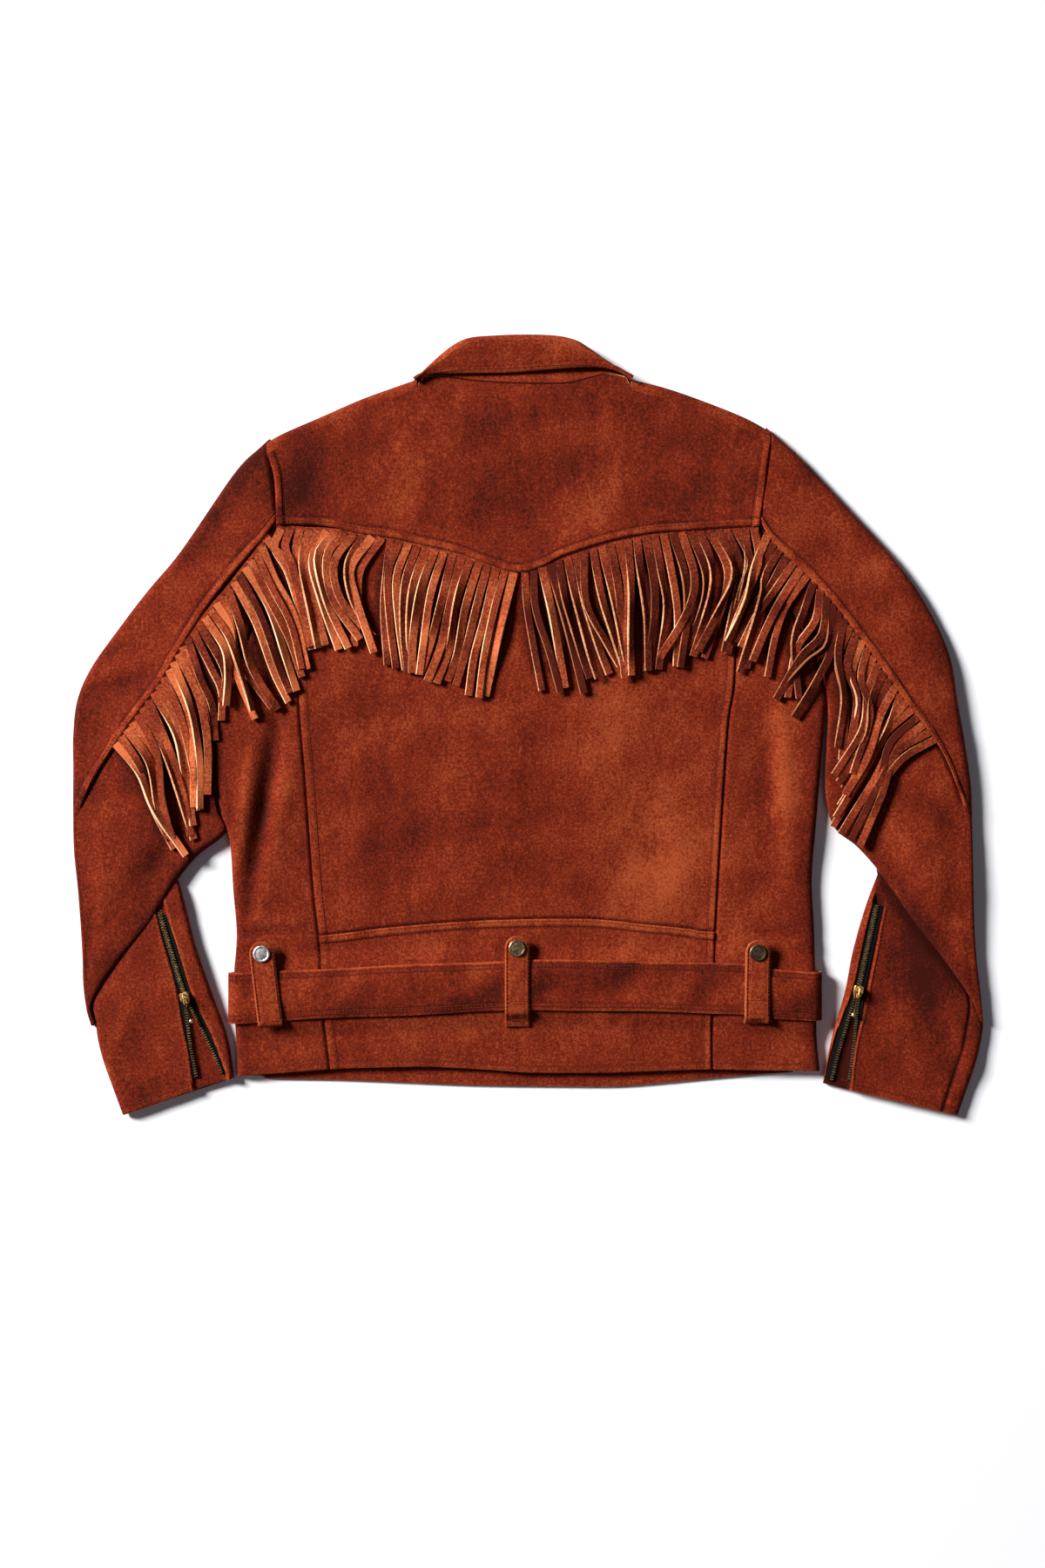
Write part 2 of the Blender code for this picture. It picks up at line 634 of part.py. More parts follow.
def disc(name, centre, profile, kind, sides=16):
    """A turned piece from (radius, height) pairs, with its axis upright."""
    points, faces = [], []
    for radius, high in profile:
        for k in range(sides):
            turn = 2 * math.pi * k / sides
            points.append((centre[0] + radius * math.cos(turn),
                           centre[1] + radius * math.sin(turn), centre[2] + high))
    for r in range(len(profile) - 1):
        for k in range(sides):
            n = (k + 1) % sides
            faces.append((r * sides + k, r * sides + n, (r + 1) * sides + n, (r + 1) * sides + k))
    faces.append(tuple(range(sides))[::-1])
    last = (len(profile) - 1) * sides
    faces.append(tuple(last + k for k in range(sides)))
    make_object(name, points, faces, kind)


def belt_loops():
    """Straps sewn over the belt, each held by a snap stud at its rounded top."""
    for name, (sx, sy, lx, ly) in BELT_LOOPS.items():
        stud, end = np.array([sx, sy]), np.array([lx, ly])
        down = unit(end - stud)
        side = np.array([-down[1], down[0]])
        head = stud - down * LOOP_HEAD
        length = float(np.linalg.norm(end - head))
        half = LOOP_WIDTH / 2
        runs = [0.6, 3.0, 7.0, half, 18.0] + list(np.linspace(18.0, length, 10)[1:])
        rows = []
        for run in runs:
            wide = half if run >= half else math.sqrt(half ** 2 - (half - run) ** 2)
            middle = head + down * run
            rows.append([middle + side * wide * s for s in (1, 0.4, -0.4, -1)])
        grid = raised(np.array(rows)[::-1, ::-1], over_belt)
        slab("belt_loop_" + name, grid, LOOP_THICK)
        base = float(over_belt(sx, sy)) + LOOP_THICK + LAID
        r = SNAP_DIAMETER / 2
        disc("snap_" + name, (sx, sy, base),
             [(r - 0.6, 0), (r, 0.6), (r, 1.3), (r - 1.6, 2.1), (r - 4.5, 2.5)], "bronze")
        disc("snap_socket_" + name, (sx, sy, float(over_belt(sx, sy)) - BELT_THICK - LAID),
             [(r - 2.4, 0), (r - 2.4, 1.0), (r - 3.6, BELT_THICK)], "bronze", 12)


def sleeve(name, table, forearm, turn):
    """Upper sleeve and forearm of one arm, each from its top sleeve and its under sleeve."""
    t = np.array(table, float)
    rows = measured(soft_curve(t), 17)
    outer, seam, inner = rows[:, 0:2], rows[:, 2:4], rows[:, 4:6]
    wide = np.linalg.norm(outer - inner, axis=1)
    depth = np.minimum(EDGE_ROUND, wide * 0.3)
    under = (outer + inner) / 2
    fold, other = (folded_left, folded_right) if turn > 0 else (folded_right, folded_left)
    grid = fold(outer, seam, under, 4, depth, sleeve_top, sleeve_low)
    cloth("top_sleeve_" + name, parted(grid, ["left", "right", "high"]))
    keep = len(rows) - 1
    grid = other(inner[:keep], seam[:keep], under[:keep], 5, depth[:keep], sleeve_top, sleeve_low)
    cloth("under_sleeve_" + name, parted(grid, ["left", "right"]))
    f = measured(soft_curve(np.array(forearm, float)), 8)
    outer, zipped, inner = f[:, 0:2], f[:, 2:4], f[:, 4:6]
    seam = outer * (1 - FOREARM_SEAM) + zipped * FOREARM_SEAM
    panel = across(seam, zipped, 5) if turn > 0 else across(zipped, seam, 5)
    cloth("under_forearm_" + name, raised(parted(panel, ["left", "right"]), sleeve_top))
    nose_out, start_out = rounded(outer, zipped, EDGE_ROUND, sleeve_top, sleeve_low)
    nose_in, start_in = rounded(inner, seam, CUFF_ROUND, sleeve_top, sleeve_low)
    floor = raised(across(start_in, start_out, 6), sleeve_low)
    parts = [raised(across(zipped, start_in, 3), sleeve_top), nose_in, floor, nose_out[:, ::-1],
             raised(across(start_out, seam, 2), sleeve_top)]
    grid = np.concatenate(parts, axis=1)
    if turn < 0:
        grid = grid[:, ::-1]
    cloth("top_forearm_" + name, parted(grid, ["left", "right"]))


def fringe(name, count, width, table):
    """Strands cut in one with the strip that is sewn into the seam."""
    dense = soft_curve(np.array(table, float))
    run = np.concatenate([[0], np.cumsum(np.linalg.norm(np.diff(dense[:, :2], axis=0), axis=1))])

    def at(where):
        return np.array([np.interp(where, run, dense[:, k]) for k in range(4)])

    pitch = run[-1] / count
    cuts = []
    for k in range(count):
        cuts += [pitch * (k + 0.2), pitch * (k + 0.8)]
    rooted = np.array([at(c) for c in cuts])
    down = unit(rooted[:, 2:] - rooted[:, :2])
    low = rooted[:, :2]
    high = low - down * STRIP_WIDTH
    points, faces = [], []
    for line, add in ((high, LAID + STRIP_THICK), (low, STRAND_LAID + STRIP_THICK),
                      (low, STRAND_LAID), (high, LAID)):
        for x, y in line:
            points.append((x, y, float(body_top(x, y)) + add))
    n = len(cuts)
    for c in range(n - 1):
        for a, b in ((0, 1), (2, 3), (3, 0)):
            faces.append((a * n + c, a * n + c + 1, b * n + c + 1, b * n + c))
        if c % 2:
            faces.append((n + c, n + c + 1, 2 * n + c + 1, 2 * n + c))
    for c in (0, n - 1):
        faces.append((c, n + c, 2 * n + c, 3 * n + c))
    steps = 3
    for k in range(count):
        c = 2 * k
        ring = [n + c, n + c + 1, 2 * n + c + 1, 2 * n + c]
        root = (low[c] + low[c + 1]) / 2
        tip = at(pitch * (k + 0.5))[2:]
        way = tip - root
        side = unit(np.array([way[1], -way[0]]))
        if np.dot(side, low[c + 1] - low[c]) < 0:
            side = -side
        bow = 2.2 * math.sin(0.55 * k) + 1.2 * math.sin(1.7 + 0.23 * k)
        for s in range(1, steps + 1):
            share = s / steps
            middle = root + way * share + side * bow * math.sin(math.pi * share) * 0.5
            wide = width * (1 - 0.15 * share) / 2
            base = len(points)
            for lateral, add in ((-wide, STRAND_THICK), (wide, STRAND_THICK), (wide, 0), (-wide, 0)):
                x, y = middle + side * lateral
                points.append((x, y, float(body_top(x, y)) + STRAND_LAID + add))
            new = [base, base + 1, base + 2, base + 3]
            for i in range(4):
                j = (i + 1) % 4
                faces.append((ring[i], ring[j], new[j], new[i]))
            ring = new
        faces.append(tuple(ring))
    make_object(name, points, faces, "cut_suede", smooth=False)


def tape(name, path, hand):
    """Half of a zip: its tape, with the row of teeth as a rib along its inner edge."""
    way = unit(np.gradient(path, axis=0))
    side = np.column_stack([way[:, 1], -way[:, 0]]) * hand
    section = [(SEAM, 0), (SEAM, TAPE_THICK + CHAIN_HEIGHT), (CHAIN_WIDTH, TAPE_THICK + CHAIN_HEIGHT),
               (CHAIN_WIDTH + 0.2, TAPE_THICK), (TAPE_WIDTH, TAPE_THICK), (TAPE_WIDTH, 0)]
    points, faces = [], []
    for p, s in zip(path, side):
        base = float(sleeve_top(p[0], p[1])) + LAID
        for out, high in section:
            points.append((p[0] + s[0] * out, p[1] + s[1] * out, base + high))
    m = len(section)
    for r in range(len(path) - 1):
        for k in range(m):
            j = (k + 1) % m
            faces.append((r * m + k, r * m + j, (r + 1) * m + j, (r + 1) * m + k))
    faces.append(tuple(range(m)))
    faces.append(tuple((len(path) - 1) * m + k for k in range(m)))
    make_object(name, points, faces, "zip_tape", smooth=False)


def placed(points, origin, way, tilt=0.0):
    """Points (along, sideways, up) set at origin, with along towards the cuff."""
    flat = np.array([way[0] * math.cos(tilt), way[1] * math.cos(tilt), -math.sin(tilt)])
    side = np.array([way[1], -way[0], 0.0])
    up = np.cross(side, flat)
    if up[2] < 0:
        up = -up
    return [origin + flat * a + side * b + up * c for a, b, c in points]


def joined(base, others):
    """A union of solids."""
    for other in others:
        cut = base.modifiers.new("join", "BOOLEAN")
        cut.operation = "UNION"
        cut.object = other
        other.hide_render = True
        other.display_type = "WIRE"
    return base


def prism(outline, low, high):
    """Points and faces of an outline (along, sideways) given a thickness."""
    n = len(outline)
    points = [(a, b, low) for a, b in outline] + [(a, b, high) for a, b in outline]
    faces = [tuple(range(n))[::-1], tuple(range(n, 2 * n))]
    faces += [(k, (k + 1) % n, n + (k + 1) % n, n + k) for k in range(n)]
    return points, faces


def slider(name, origin, way):
    """Slider plate with its bridge; the origin is the pull's pivot under the bridge."""
    half, wide, top = SLIDER_LENGTH / 2, SLIDER_WIDTH / 2, -PIVOT_HEIGHT
    outline = [(-half, -wide * 0.9), (-half * 0.2, -wide), (half, -wide * 0.62),
               (half, wide * 0.62), (-half * 0.2, wide), (-half, wide * 0.9)]
    plate, faces = prism(outline, top - SLIDER_THICK, top)
    body = make_object(name, placed(plate, origin, way), faces, "brass", smooth=False)
    foot, crown, root = BRIDGE_FOOT, BRIDGE_HEIGHT, top - BRIDGE_SUNK
    knee = crown - BRIDGE_BAR * 1.2
    arch = [(-foot - BRIDGE_BAR, root), (-foot - BRIDGE_BAR, knee), (-foot + 0.6, crown),
            (foot - 0.6, crown), (foot + BRIDGE_BAR, knee), (foot + BRIDGE_BAR, root),
            (foot, root), (foot, knee - 0.4), (foot - BRIDGE_BAR, crown - BRIDGE_BAR),
            (BRIDGE_BAR - foot, crown - BRIDGE_BAR), (-foot, knee - 0.4), (-foot, root)]
    upright, faces = prism(arch, -BRIDGE_WIDTH / 2, BRIDGE_WIDTH / 2)
    points = [(along, sideways, high) for along, high, sideways in upright]
    bridge = make_object(name + "_bridge", placed(points, origin, way), faces, "brass", smooth=False)
    joined(body, [bridge])


def turned(rings, sides):
    """Points and faces of a round bar along the pull, from (along, radius) pairs."""
    points = []
    for along, radius in rings:
        for k in range(sides):
            turn = 2 * math.pi * k / sides
            points.append((along, radius * math.cos(turn), radius * math.sin(turn)))
    faces = [tuple(range(sides)), tuple((len(rings) - 1) * sides + k for k in range(sides))]
    for r in range(len(rings) - 1):
        for k in range(sides):
            n = (k + 1) % sides
            faces.append((r * sides + k, r * sides + n, (r + 1) * sides + n, (r + 1) * sides + k))
    return points, faces


def eye():
    """Points and faces of the flat ring that hangs on the slider's bridge."""
    bar, wide, far = EYE_BAR / 2, EYE_WIDTH / 2, EYE_LENGTH
    ring = [(-bar, -wide), (far, -wide), (far, wide), (-bar, wide)]
    hole = [(bar, -wide + EYE_BAR), (far - EYE_BAR, -wide + EYE_BAR),
            (far - EYE_BAR, wide - EYE_BAR), (bar, wide - EYE_BAR)]
    points = [(a, b, c) for c in (-bar, bar) for a, b in ring + hole]
    faces = []
    for k in range(4):
        j = (k + 1) % 4
        faces += [(k, j, 4 + j, 4 + k), (8 + k, 8 + j, 12 + j, 12 + k),
                  (k, j, 8 + j, 8 + k), (4 + k, 4 + j, 12 + j, 12 + k)]
    return points, faces


def pull(name, origin, way, tilt):
    """Pull: an eye round the bridge, a thin rod and a ball; it turns about the eye's near bar."""
    points, faces = eye()
    base = make_object(name, placed(points, origin, way, tilt), faces, "brass", smooth=False)
    radius, ball = ROD_DIAMETER / 2, BALL_DIAMETER / 2
    points, faces = turned([(EYE_LENGTH - EYE_BAR / 2, radius), (PULL_LENGTH, radius)], 10)
    rod = make_object(name + "_rod", placed(points, origin, way, tilt), faces, "brass")
    turns = [math.pi * (k + 1) / 8 for k in range(7)]
    rings = [(PULL_LENGTH - ball * math.cos(t), ball * math.sin(t)) for t in turns]
    points, faces = turned(rings, 12)
    end = make_object(name + "_ball", placed(points, origin, way, tilt), faces, "brass")
    joined(base, [rod, end])


def cuff_zips():
    for name, (top, middle, end_left, end_right) in CUFF_ZIPS.items():
        closed = spaced([top, middle], 6)
        for half, end, hand in (("left", end_left, 1), ("right", end_right, -1)):
            bulge = np.array(middle) * 0.35 + np.array(end) * 0.65 - [hand, 0]
            tail = spaced([middle, bulge, end], 6)[1:]
            tape("zip_%s_tape_%s" % (name, half), np.vstack([closed, tail]), hand)
        high = float(sleeve_top(*middle)) + LAID + TAPE_THICK + CHAIN_HEIGHT + SEAM
        pivot = np.array([middle[0], middle[1], high + SLIDER_THICK + PIVOT_HEIGHT])
        way = unit(np.array(middle, float) - np.array(top, float))
        slider("zip_%s_slider" % name, pivot, way)
        pull("zip_%s_pull" % name, pivot, way, math.radians(PULL_TILT))


back_panels()
neck_row = yoke()
fronts()
collar(neck_row)
belt()
belt_loops()
sleeve("left", SLEEVE_LEFT, FOREARM_LEFT, 1)
sleeve("right", SLEEVE_RIGHT, FOREARM_RIGHT, -1)
for fringe_name, (strands, strand_width, rows) in FRINGE.items():
    fringe(fringe_name, strands, strand_width, rows)
cuff_zips()
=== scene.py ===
"""Fringed suede jacket laid flat with its back up, seen from straight above."""

import json
import math

import bmesh
import bpy
import numpy as np
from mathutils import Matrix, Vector, kdtree


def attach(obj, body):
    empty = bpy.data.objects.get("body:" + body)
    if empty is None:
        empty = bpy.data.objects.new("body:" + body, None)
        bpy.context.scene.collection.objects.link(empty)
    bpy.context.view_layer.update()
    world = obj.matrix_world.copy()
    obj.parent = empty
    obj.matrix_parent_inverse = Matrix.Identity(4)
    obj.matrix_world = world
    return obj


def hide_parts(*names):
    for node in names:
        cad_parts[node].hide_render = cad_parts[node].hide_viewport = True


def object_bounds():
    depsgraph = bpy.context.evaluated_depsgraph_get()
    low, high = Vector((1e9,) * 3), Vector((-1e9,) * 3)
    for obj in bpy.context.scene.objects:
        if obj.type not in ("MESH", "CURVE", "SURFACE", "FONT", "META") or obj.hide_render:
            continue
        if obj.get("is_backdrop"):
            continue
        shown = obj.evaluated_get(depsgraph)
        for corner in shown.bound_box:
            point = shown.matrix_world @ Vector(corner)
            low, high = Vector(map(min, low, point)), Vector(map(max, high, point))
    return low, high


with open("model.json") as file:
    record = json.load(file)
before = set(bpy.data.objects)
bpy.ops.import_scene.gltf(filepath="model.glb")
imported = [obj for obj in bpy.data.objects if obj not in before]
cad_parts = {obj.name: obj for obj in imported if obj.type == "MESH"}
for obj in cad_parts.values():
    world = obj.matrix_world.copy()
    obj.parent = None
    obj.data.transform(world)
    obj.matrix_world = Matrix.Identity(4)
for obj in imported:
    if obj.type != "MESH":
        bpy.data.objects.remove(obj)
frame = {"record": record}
cad_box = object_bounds()
MM = 0.001            # the tables are in millimetres

# The surface: a plain white board under one large soft lamp from the upper left, with a weaker one
# from the right, as in a studio. The camera looks straight down, as the photograph does.


def add(tree, kind, inputs=None, **settings):
    """Adds a node with its settings and its inputs, each a value or another node's socket."""
    node = tree.nodes.new(kind)
    for key, value in settings.items():
        setattr(node, key, value)
    for key, value in (inputs or {}).items():
        if isinstance(value, bpy.types.NodeSocket):
            tree.links.new(value, node.inputs[key])
        else:
            node.inputs[key].default_value = value
    return node


def linear(code):
    """A hex sRGB colour as linear red, green, blue and alpha."""
    parts = [int(code[k:k + 2], 16) / 255 for k in (1, 3, 5)]
    return tuple(v / 12.92 if v <= 0.04045 else ((v + 0.055) / 1.055) ** 2.4 for v in parts) + (1,)


def material(name, settings):
    """A new material, its node tree and its shader with the settings of its own sockets."""
    mat = bpy.data.materials.new(name)
    mat.use_nodes = True
    shader = mat.node_tree.nodes["Principled BSDF"]
    for key, value in settings.items():
        shader.inputs[key].default_value = value
    return mat, mat.node_tree, shader


board_paint = material("matt_white_board", {"Base Color": linear("#F4F4F6"), "Roughness": 0.9,
                                            "Specular IOR Level": 0.1})[0]
board_mesh = bpy.data.meshes.new("board")
BOARD = 3.0
board_mesh.from_pydata([(-BOARD, -BOARD, 0), (BOARD, -BOARD, 0), (BOARD, BOARD, 0),
                        (-BOARD, BOARD, 0)], [], [(0, 1, 2, 3)])
board_mesh.materials.append(board_paint)
board = bpy.data.objects.new("board", board_mesh)
board.location.z = -0.0004
bpy.context.collection.objects.link(board)
board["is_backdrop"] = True

# Lamps: name, place, size, power
LAMPS = (("key", (-7.5, 3.9, 4.5), 2.8, 2440), ("fill", (1.6, -0.9, 3.2), 1.6, 5))
for lamp_name, place, size, power in LAMPS:
    lamp = bpy.data.objects.new(lamp_name, bpy.data.lights.new(lamp_name, "AREA"))
    lamp.data.size = size
    lamp.data.energy = power
    lamp.location = place
    lamp.rotation_euler = (-Vector(place)).to_track_quat("-Z", "Y").to_euler()
    bpy.context.collection.objects.link(lamp)
sky = bpy.data.worlds.new("studio")
sky.use_nodes = True
sky.node_tree.nodes["Background"].inputs["Color"].default_value = linear("#E8DEFF")
sky.node_tree.nodes["Background"].inputs["Strength"].default_value = 0.052
bpy.context.scene.world = sky
bpy.context.scene.view_settings.view_transform = "Standard"

VIEW_HEIGHT = 1.415   # what the photograph covers from top to bottom, in metres
VIEW_MIDDLE = (-0.0051, -0.0531)
CAMERA_HEIGHT = 2.2
CLOTH_HEIGHT = 0.012
camera = bpy.data.objects.new("camera", bpy.data.cameras.new("camera"))
camera.location = (*VIEW_MIDDLE, CAMERA_HEIGHT)
camera.data.sensor_fit = "VERTICAL"
camera.data.lens = camera.data.sensor_height * (CAMERA_HEIGHT - CLOTH_HEIGHT) / VIEW_HEIGHT
bpy.context.collection.objects.link(camera)
bpy.context.scene.camera = camera

# The suede: cowhide split, buffed to a nap and dyed rust brown. The nap makes it matt with pale and
# dark strokes, rubbed paler on raised edges and welts. Its inside is a dark cotton lining, its cut
# edges are the paler raw hide.

NAP = 2.2             # mm across one tuft; the real nap is a fifth of that, which wouldn't show


def suede(name, deep, middle, pale, patches=1.0):
    """Suede with patches of brushed nap. A per-point attribute turns it pale or dark: real wear,
    and painted shade and light.
    """
    mat, tree, shader = material(name, {"Roughness": 0.94, "Specular IOR Level": 0.12,
                                        "Sheen Weight": 0.05, "Sheen Roughness": 0.6,
                                        "Sheen Tint": linear("#B4603A")})
    place = add(tree, "ShaderNodeTexCoord").outputs["Object"]
    drawn = add(tree, "ShaderNodeMapping", {"Vector": place, "Scale": (1.0, 0.45, 0.7)})
    stroked = drawn.outputs["Vector"]
    wide, brushed, nap = (
        add(tree, "ShaderNodeTexNoise", {"Vector": where, "Scale": scale, "Detail": detail,
                                         "Roughness": rough, "Distortion": bent}).outputs["Fac"]
        for where, scale, detail, rough, bent in ((stroked, 27.0, 9.0, 0.75, 0.5),
                                                  (stroked, 85.0, 6.0, 0.85, 0.3),
                                                  (place, 1000 / NAP, 3.0, 0.75, 0.0)))
    wear_and_shade = add(tree, "ShaderNodeAttribute", attribute_name="wear_and_shade").outputs["Fac"]
    tone = -0.575 - 0.14 * patches
    for part, weight in ((wide, 0.28 * patches), (brushed, 0.75 * patches), (nap, 1.4),
                         (wear_and_shade, 0.34)):
        tone = add(tree, "ShaderNodeMath", {0: part, 1: weight, 2: tone},
                   operation="MULTIPLY_ADD").outputs[0]
    ramp = add(tree, "ShaderNodeValToRGB", {"Fac": tone})
    ramp.color_ramp.elements.new(0.5)
    for stop, at, colour in zip(ramp.color_ramp.elements, (0.12, 0.5, 0.92),
                                (deep, middle, pale)):
        stop.position, stop.color = at, linear(colour)
    tree.links.new(ramp.outputs["Color"], shader.inputs["Base Color"])
    tufts = add(tree, "ShaderNodeMath", {0: brushed, 1: 1.6, 2: nap}, operation="MULTIPLY_ADD")
    bump = add(tree, "ShaderNodeBump", {"Strength": 0.55, "Distance": 0.0006,
                                        "Height": tufts.outputs[0]})
    tree.links.new(bump.outputs["Normal"], shader.inputs["Normal"])
    return mat


body_suede = suede("rust_split_suede", "#3A0B03", "#701F0A", "#9E4623")
strand_suede = suede("fringe_suede", "#4A1408", "#88331A", "#C2653A", 0.7)
raw_edge = suede("cut_hide_edge", "#8E5233", "#CF9468", "#EDC39A", 0.6)


def woven(name, ribs, waver, dark, light, rough, gloss):
    """Dark woven cotton; its ribs are drawn coarser than the real ones, to show."""
    mat, tree, shader = material(name, {"Roughness": rough, "Specular IOR Level": gloss})
    place = add(tree, "ShaderNodeTexCoord").outputs["Object"]
    wave = add(tree, "ShaderNodeTexWave", {"Vector": place, "Scale": ribs, "Distortion": waver},
               bands_direction="DIAGONAL")
    tone = add(tree, "ShaderNodeValToRGB", {"Fac": wave.outputs["Fac"]})
    for stop, colour in zip(tone.color_ramp.elements, (dark, light)):
        stop.color = linear(colour)
    tree.links.new(tone.outputs["Color"], shader.inputs["Base Color"])
    return mat


lining_cotton = woven("brown_cotton_lining", 400.0, 0.4, "#24140E", "#3A241A", 0.8, 0.5)

# The body: a back in three parts, cut from flat suede and sewn to two side panels that fold round
# the sides. These are its outline and its seams, and how high the cloth lies.

WALL = 2.4            # suede and lining together
FLAT = 8.4            # top of the back over the front that it lies on
EDGE_ROUND = 7.0
SEAM_ROUND = 2.0      # the same where the sleeve is sewn on
EDGE_SHADE_REACH = 13.0         # how far in from a folded edge the cloth is painted darker, as shade on its rounded edge
SIDE_LAP = 23.7       # side panel carried under the body
ARMPIT_LAP = 16.7     # the same at the armpit
ARMPIT = 181          # y where the side ends and the armhole starts
SEAM_GAP = 0.3
BELT_WIDTH = 45.0
BELT_THICK = 3.0
LAID = 0.6            # between a panel and what lies on it
BELT_RAMP = 14.0
NEAR_BELT = BELT_WIDTH / 2 + 2

# Seams and edges: x, y
SIDE_LEFT = [(-263, -318), (-265, -270), (-266, -226), (-264, -189), (-267, -150), (-270, -105),
             (-277, -85), (-284, -50), (-288, -22), (-284, 4), (-276, 28), (-259, 65),
             (-244, 102), (-234, 140), (-227, 181)]
SIDE_RIGHT = [(264, -313), (261, -277), (260, -230), (259, -184), (257, -140), (260, -97),
              (263, -62), (266, -28), (269, 7), (270, 27), (264, 49), (250, 81),
              (231, 112), (217, 143), (209, 180)]
PRINCESS_LEFT = [(-179, -310), (-184, -266), (-187, -218), (-189, -191), (-194, -147),
                 (-201, -52), (-206, 7), (-208, 50), (-207, 110), (-203, 181)]
PRINCESS_RIGHT = [(166, -312), (166, -259), (168, -213), (171, -147), (180, -6), (186, 37),
                  (188, 104), (187, 181)]
ARMHOLE_LEFT = [(-227, 181), (-229, 220), (-233, 237), (-239, 254)]
ARMHOLE_RIGHT = [(209, 180), (214, 214), (217, 240), (221, 264)]
BACK_HEM = [(-268, -318), (-226, -314), (-184, -311), (-118, -309), (-82, -309), (-28, -312),
            (3, -314), (73, -314), (165, -311), (228, -312), (268, -313)]
BELT_LINE = [(-275, -248), (-223, -244), (-22, -235), (6, -234), (193, -238), (219, -242),
             (275, -246)]
WAIST_SEAM = [(-290, -195), (-188, -190), (-136, -184), (-82, -179), (-28, -176), (52, -175),
              (106, -180), (145, -184), (169, -187), (290, -192)]
YOKE_SEAM = [(-240, 181), (-204, 181), (-178, 179), (-150, 173), (-122, 169), (-94, 163),
             (-68, 157), (-50, 151), (-32, 144), (-8, 138), (14, 144), (29, 152), (58, 162),
             (84, 169), (114, 174), (144, 176), (187, 179), (225, 180)]

# Swells and creases: x, y, direction in degrees, length, width, rise
SWELLS = [
    (-5, 300, 0, 90, 45, 3.0), (-235, 215, 80, 55, 40, 3.0), (218, 220, 98, 55, 40, 3.0),
    (-320, 50, 62, 130, 48, 5.0), (330, 55, 118, 130, 48, 5.0), (-372, -130, 78, 70, 38, 4.5),
    (366, -130, 98, 70, 38, 4.5), (-268, -60, 92, 120, 38, 2.5), (258, -50, 90, 120, 38, 2.5),
    (0, 230, 0, 150, 60, 1.6), (-5, -60, 90, 130, 90, 1.2),
]
CREASES = [
    (-239, -72, 81, 72, 6.5, -5.5), (-256, -70, 82, 80, 7, 2.2), (-225, -90, 80, 80, 8, 1.2),
    (231, -45, 92, 75, 8, 1.5), (215, -80, 90, 70, 9, -1.2), (249, -110, 88, 60, 7, -0.9),
    (-245, -196, 4, 26, 4, 1.4), (-240, -188, 2, 30, 4, -1.3), (-230, -178, 6, 34, 5, 0.9),
    (222, -196, -4, 26, 4, 1.3), (226, -187, -3, 28, 4, -1.0), (-190, -205, 12, 26, 5, -0.8),
    (150, -205, -8, 30, 5, -0.8), (-120, 120, 70, 40, 14, -0.8), (96, 60, 80, 70, 16, 0.7),
    (-60, -20, 75, 80, 18, 0.7), (40, -60, 95, 90, 20, -0.7), (-130, -60, 85, 90, 16, -0.7),
    (110, -100, 100, 60, 14, -0.7), (-90, -150, 8, 50, 9, 0.6), (60, -150, -6, 60, 9, -0.6),
    (-100, 250, 20, 60, 14, 0.7), (90, 255, -20, 60, 14, 0.7), (0, 210, 90, 40, 16, -0.6),
    (-205, 205, 70, 30, 10, -0.8), (190, 210, 108, 30, 10, -0.8),
    (-370, 36, 18, 45, 9, -1.6), (-366, 52, 16, 40, 9, 0.9), (-350, -150, 62, 60, 11, -1.5),
    (-385, -120, 84, 60, 9, 1.2), (-372, -185, 58, 45, 9, 1.4), (-330, -118, 50, 40, 10, -1.0),
    (-398, -205, 82, 40, 5, -1.4), (-360, -60, 30, 50, 14, -0.8), (-340, 110, 55, 60, 14, 0.8),
    (-290, 170, 52, 50, 10, -0.8), (365, -75, 140, 55, 10, -1.2), (352, -120, 118, 60, 10, 1.2),
    (385, -150, 96, 60, 9, -1.2), (340, -148, 124, 40, 10, -0.8), (392, -205, 95, 40, 6, 1.1),
    (350, 40, 118, 60, 14, 0.8), (372, 70, 112, 60, 10, -0.8), (300, 160, 130, 50, 12, 0.7),
    (-352, -290, 70, 50, 12, -1.2), (-378, -300, 68, 45, 8, 1.2), (-330, -250, 60, 45, 10, 0.9),
    (350, -290, 105, 50, 12, 1.0), (378, -285, 108, 45, 10, -1.2), (395, -300, 106, 40, 8, 1.1),
    (335, -230, 118, 50, 12, -0.9),
]
# Where the nap lies paler or darker: x, y, direction in degrees, length, width, how much
BRUSHED_PATCHES = [
    (121, -132, 80, 70, 48, 0.9), (66, 2, 90, 60, 40, 0.5), (-123, -100, 90, 70, 50, -0.3),
    (-5, -77, 90, 60, 40, -0.3), (-205, 214, 80, 42, 22, -0.8), (-111, 214, 62, 50, 18, 0.5),
    (-37, 226, 90, 50, 22, -0.5), (58, 190, 62, 55, 20, 0.5), (150, 216, 70, 60, 34, -0.3),
    (-249, 240, 50, 40, 18, -0.7), (-327, 112, 60, 60, 30, 0.3), (309, 183, 120, 50, 30, 0.2),
    (232, -25, 94, 60, 14, 0.6), (358, -215, 100, 45, 25, -1.2), (-361, -323, 20, 40, 18, -0.3),
    (-300, -20, 60, 60, 40, -0.2), (60, 285, 0, 60, 20, -0.2), (-60, -270, 0, 90, 22, 0.3),
]
CREASE_RUB_AND_SHADE = 0.22         # how much paler the nap is for each mm that it stands out of a crease, and darker, as painted shade, for each mm that it sinks into one


def unit(v):
    return v / np.maximum(np.linalg.norm(v, axis=-1, keepdims=True), 1e-9)


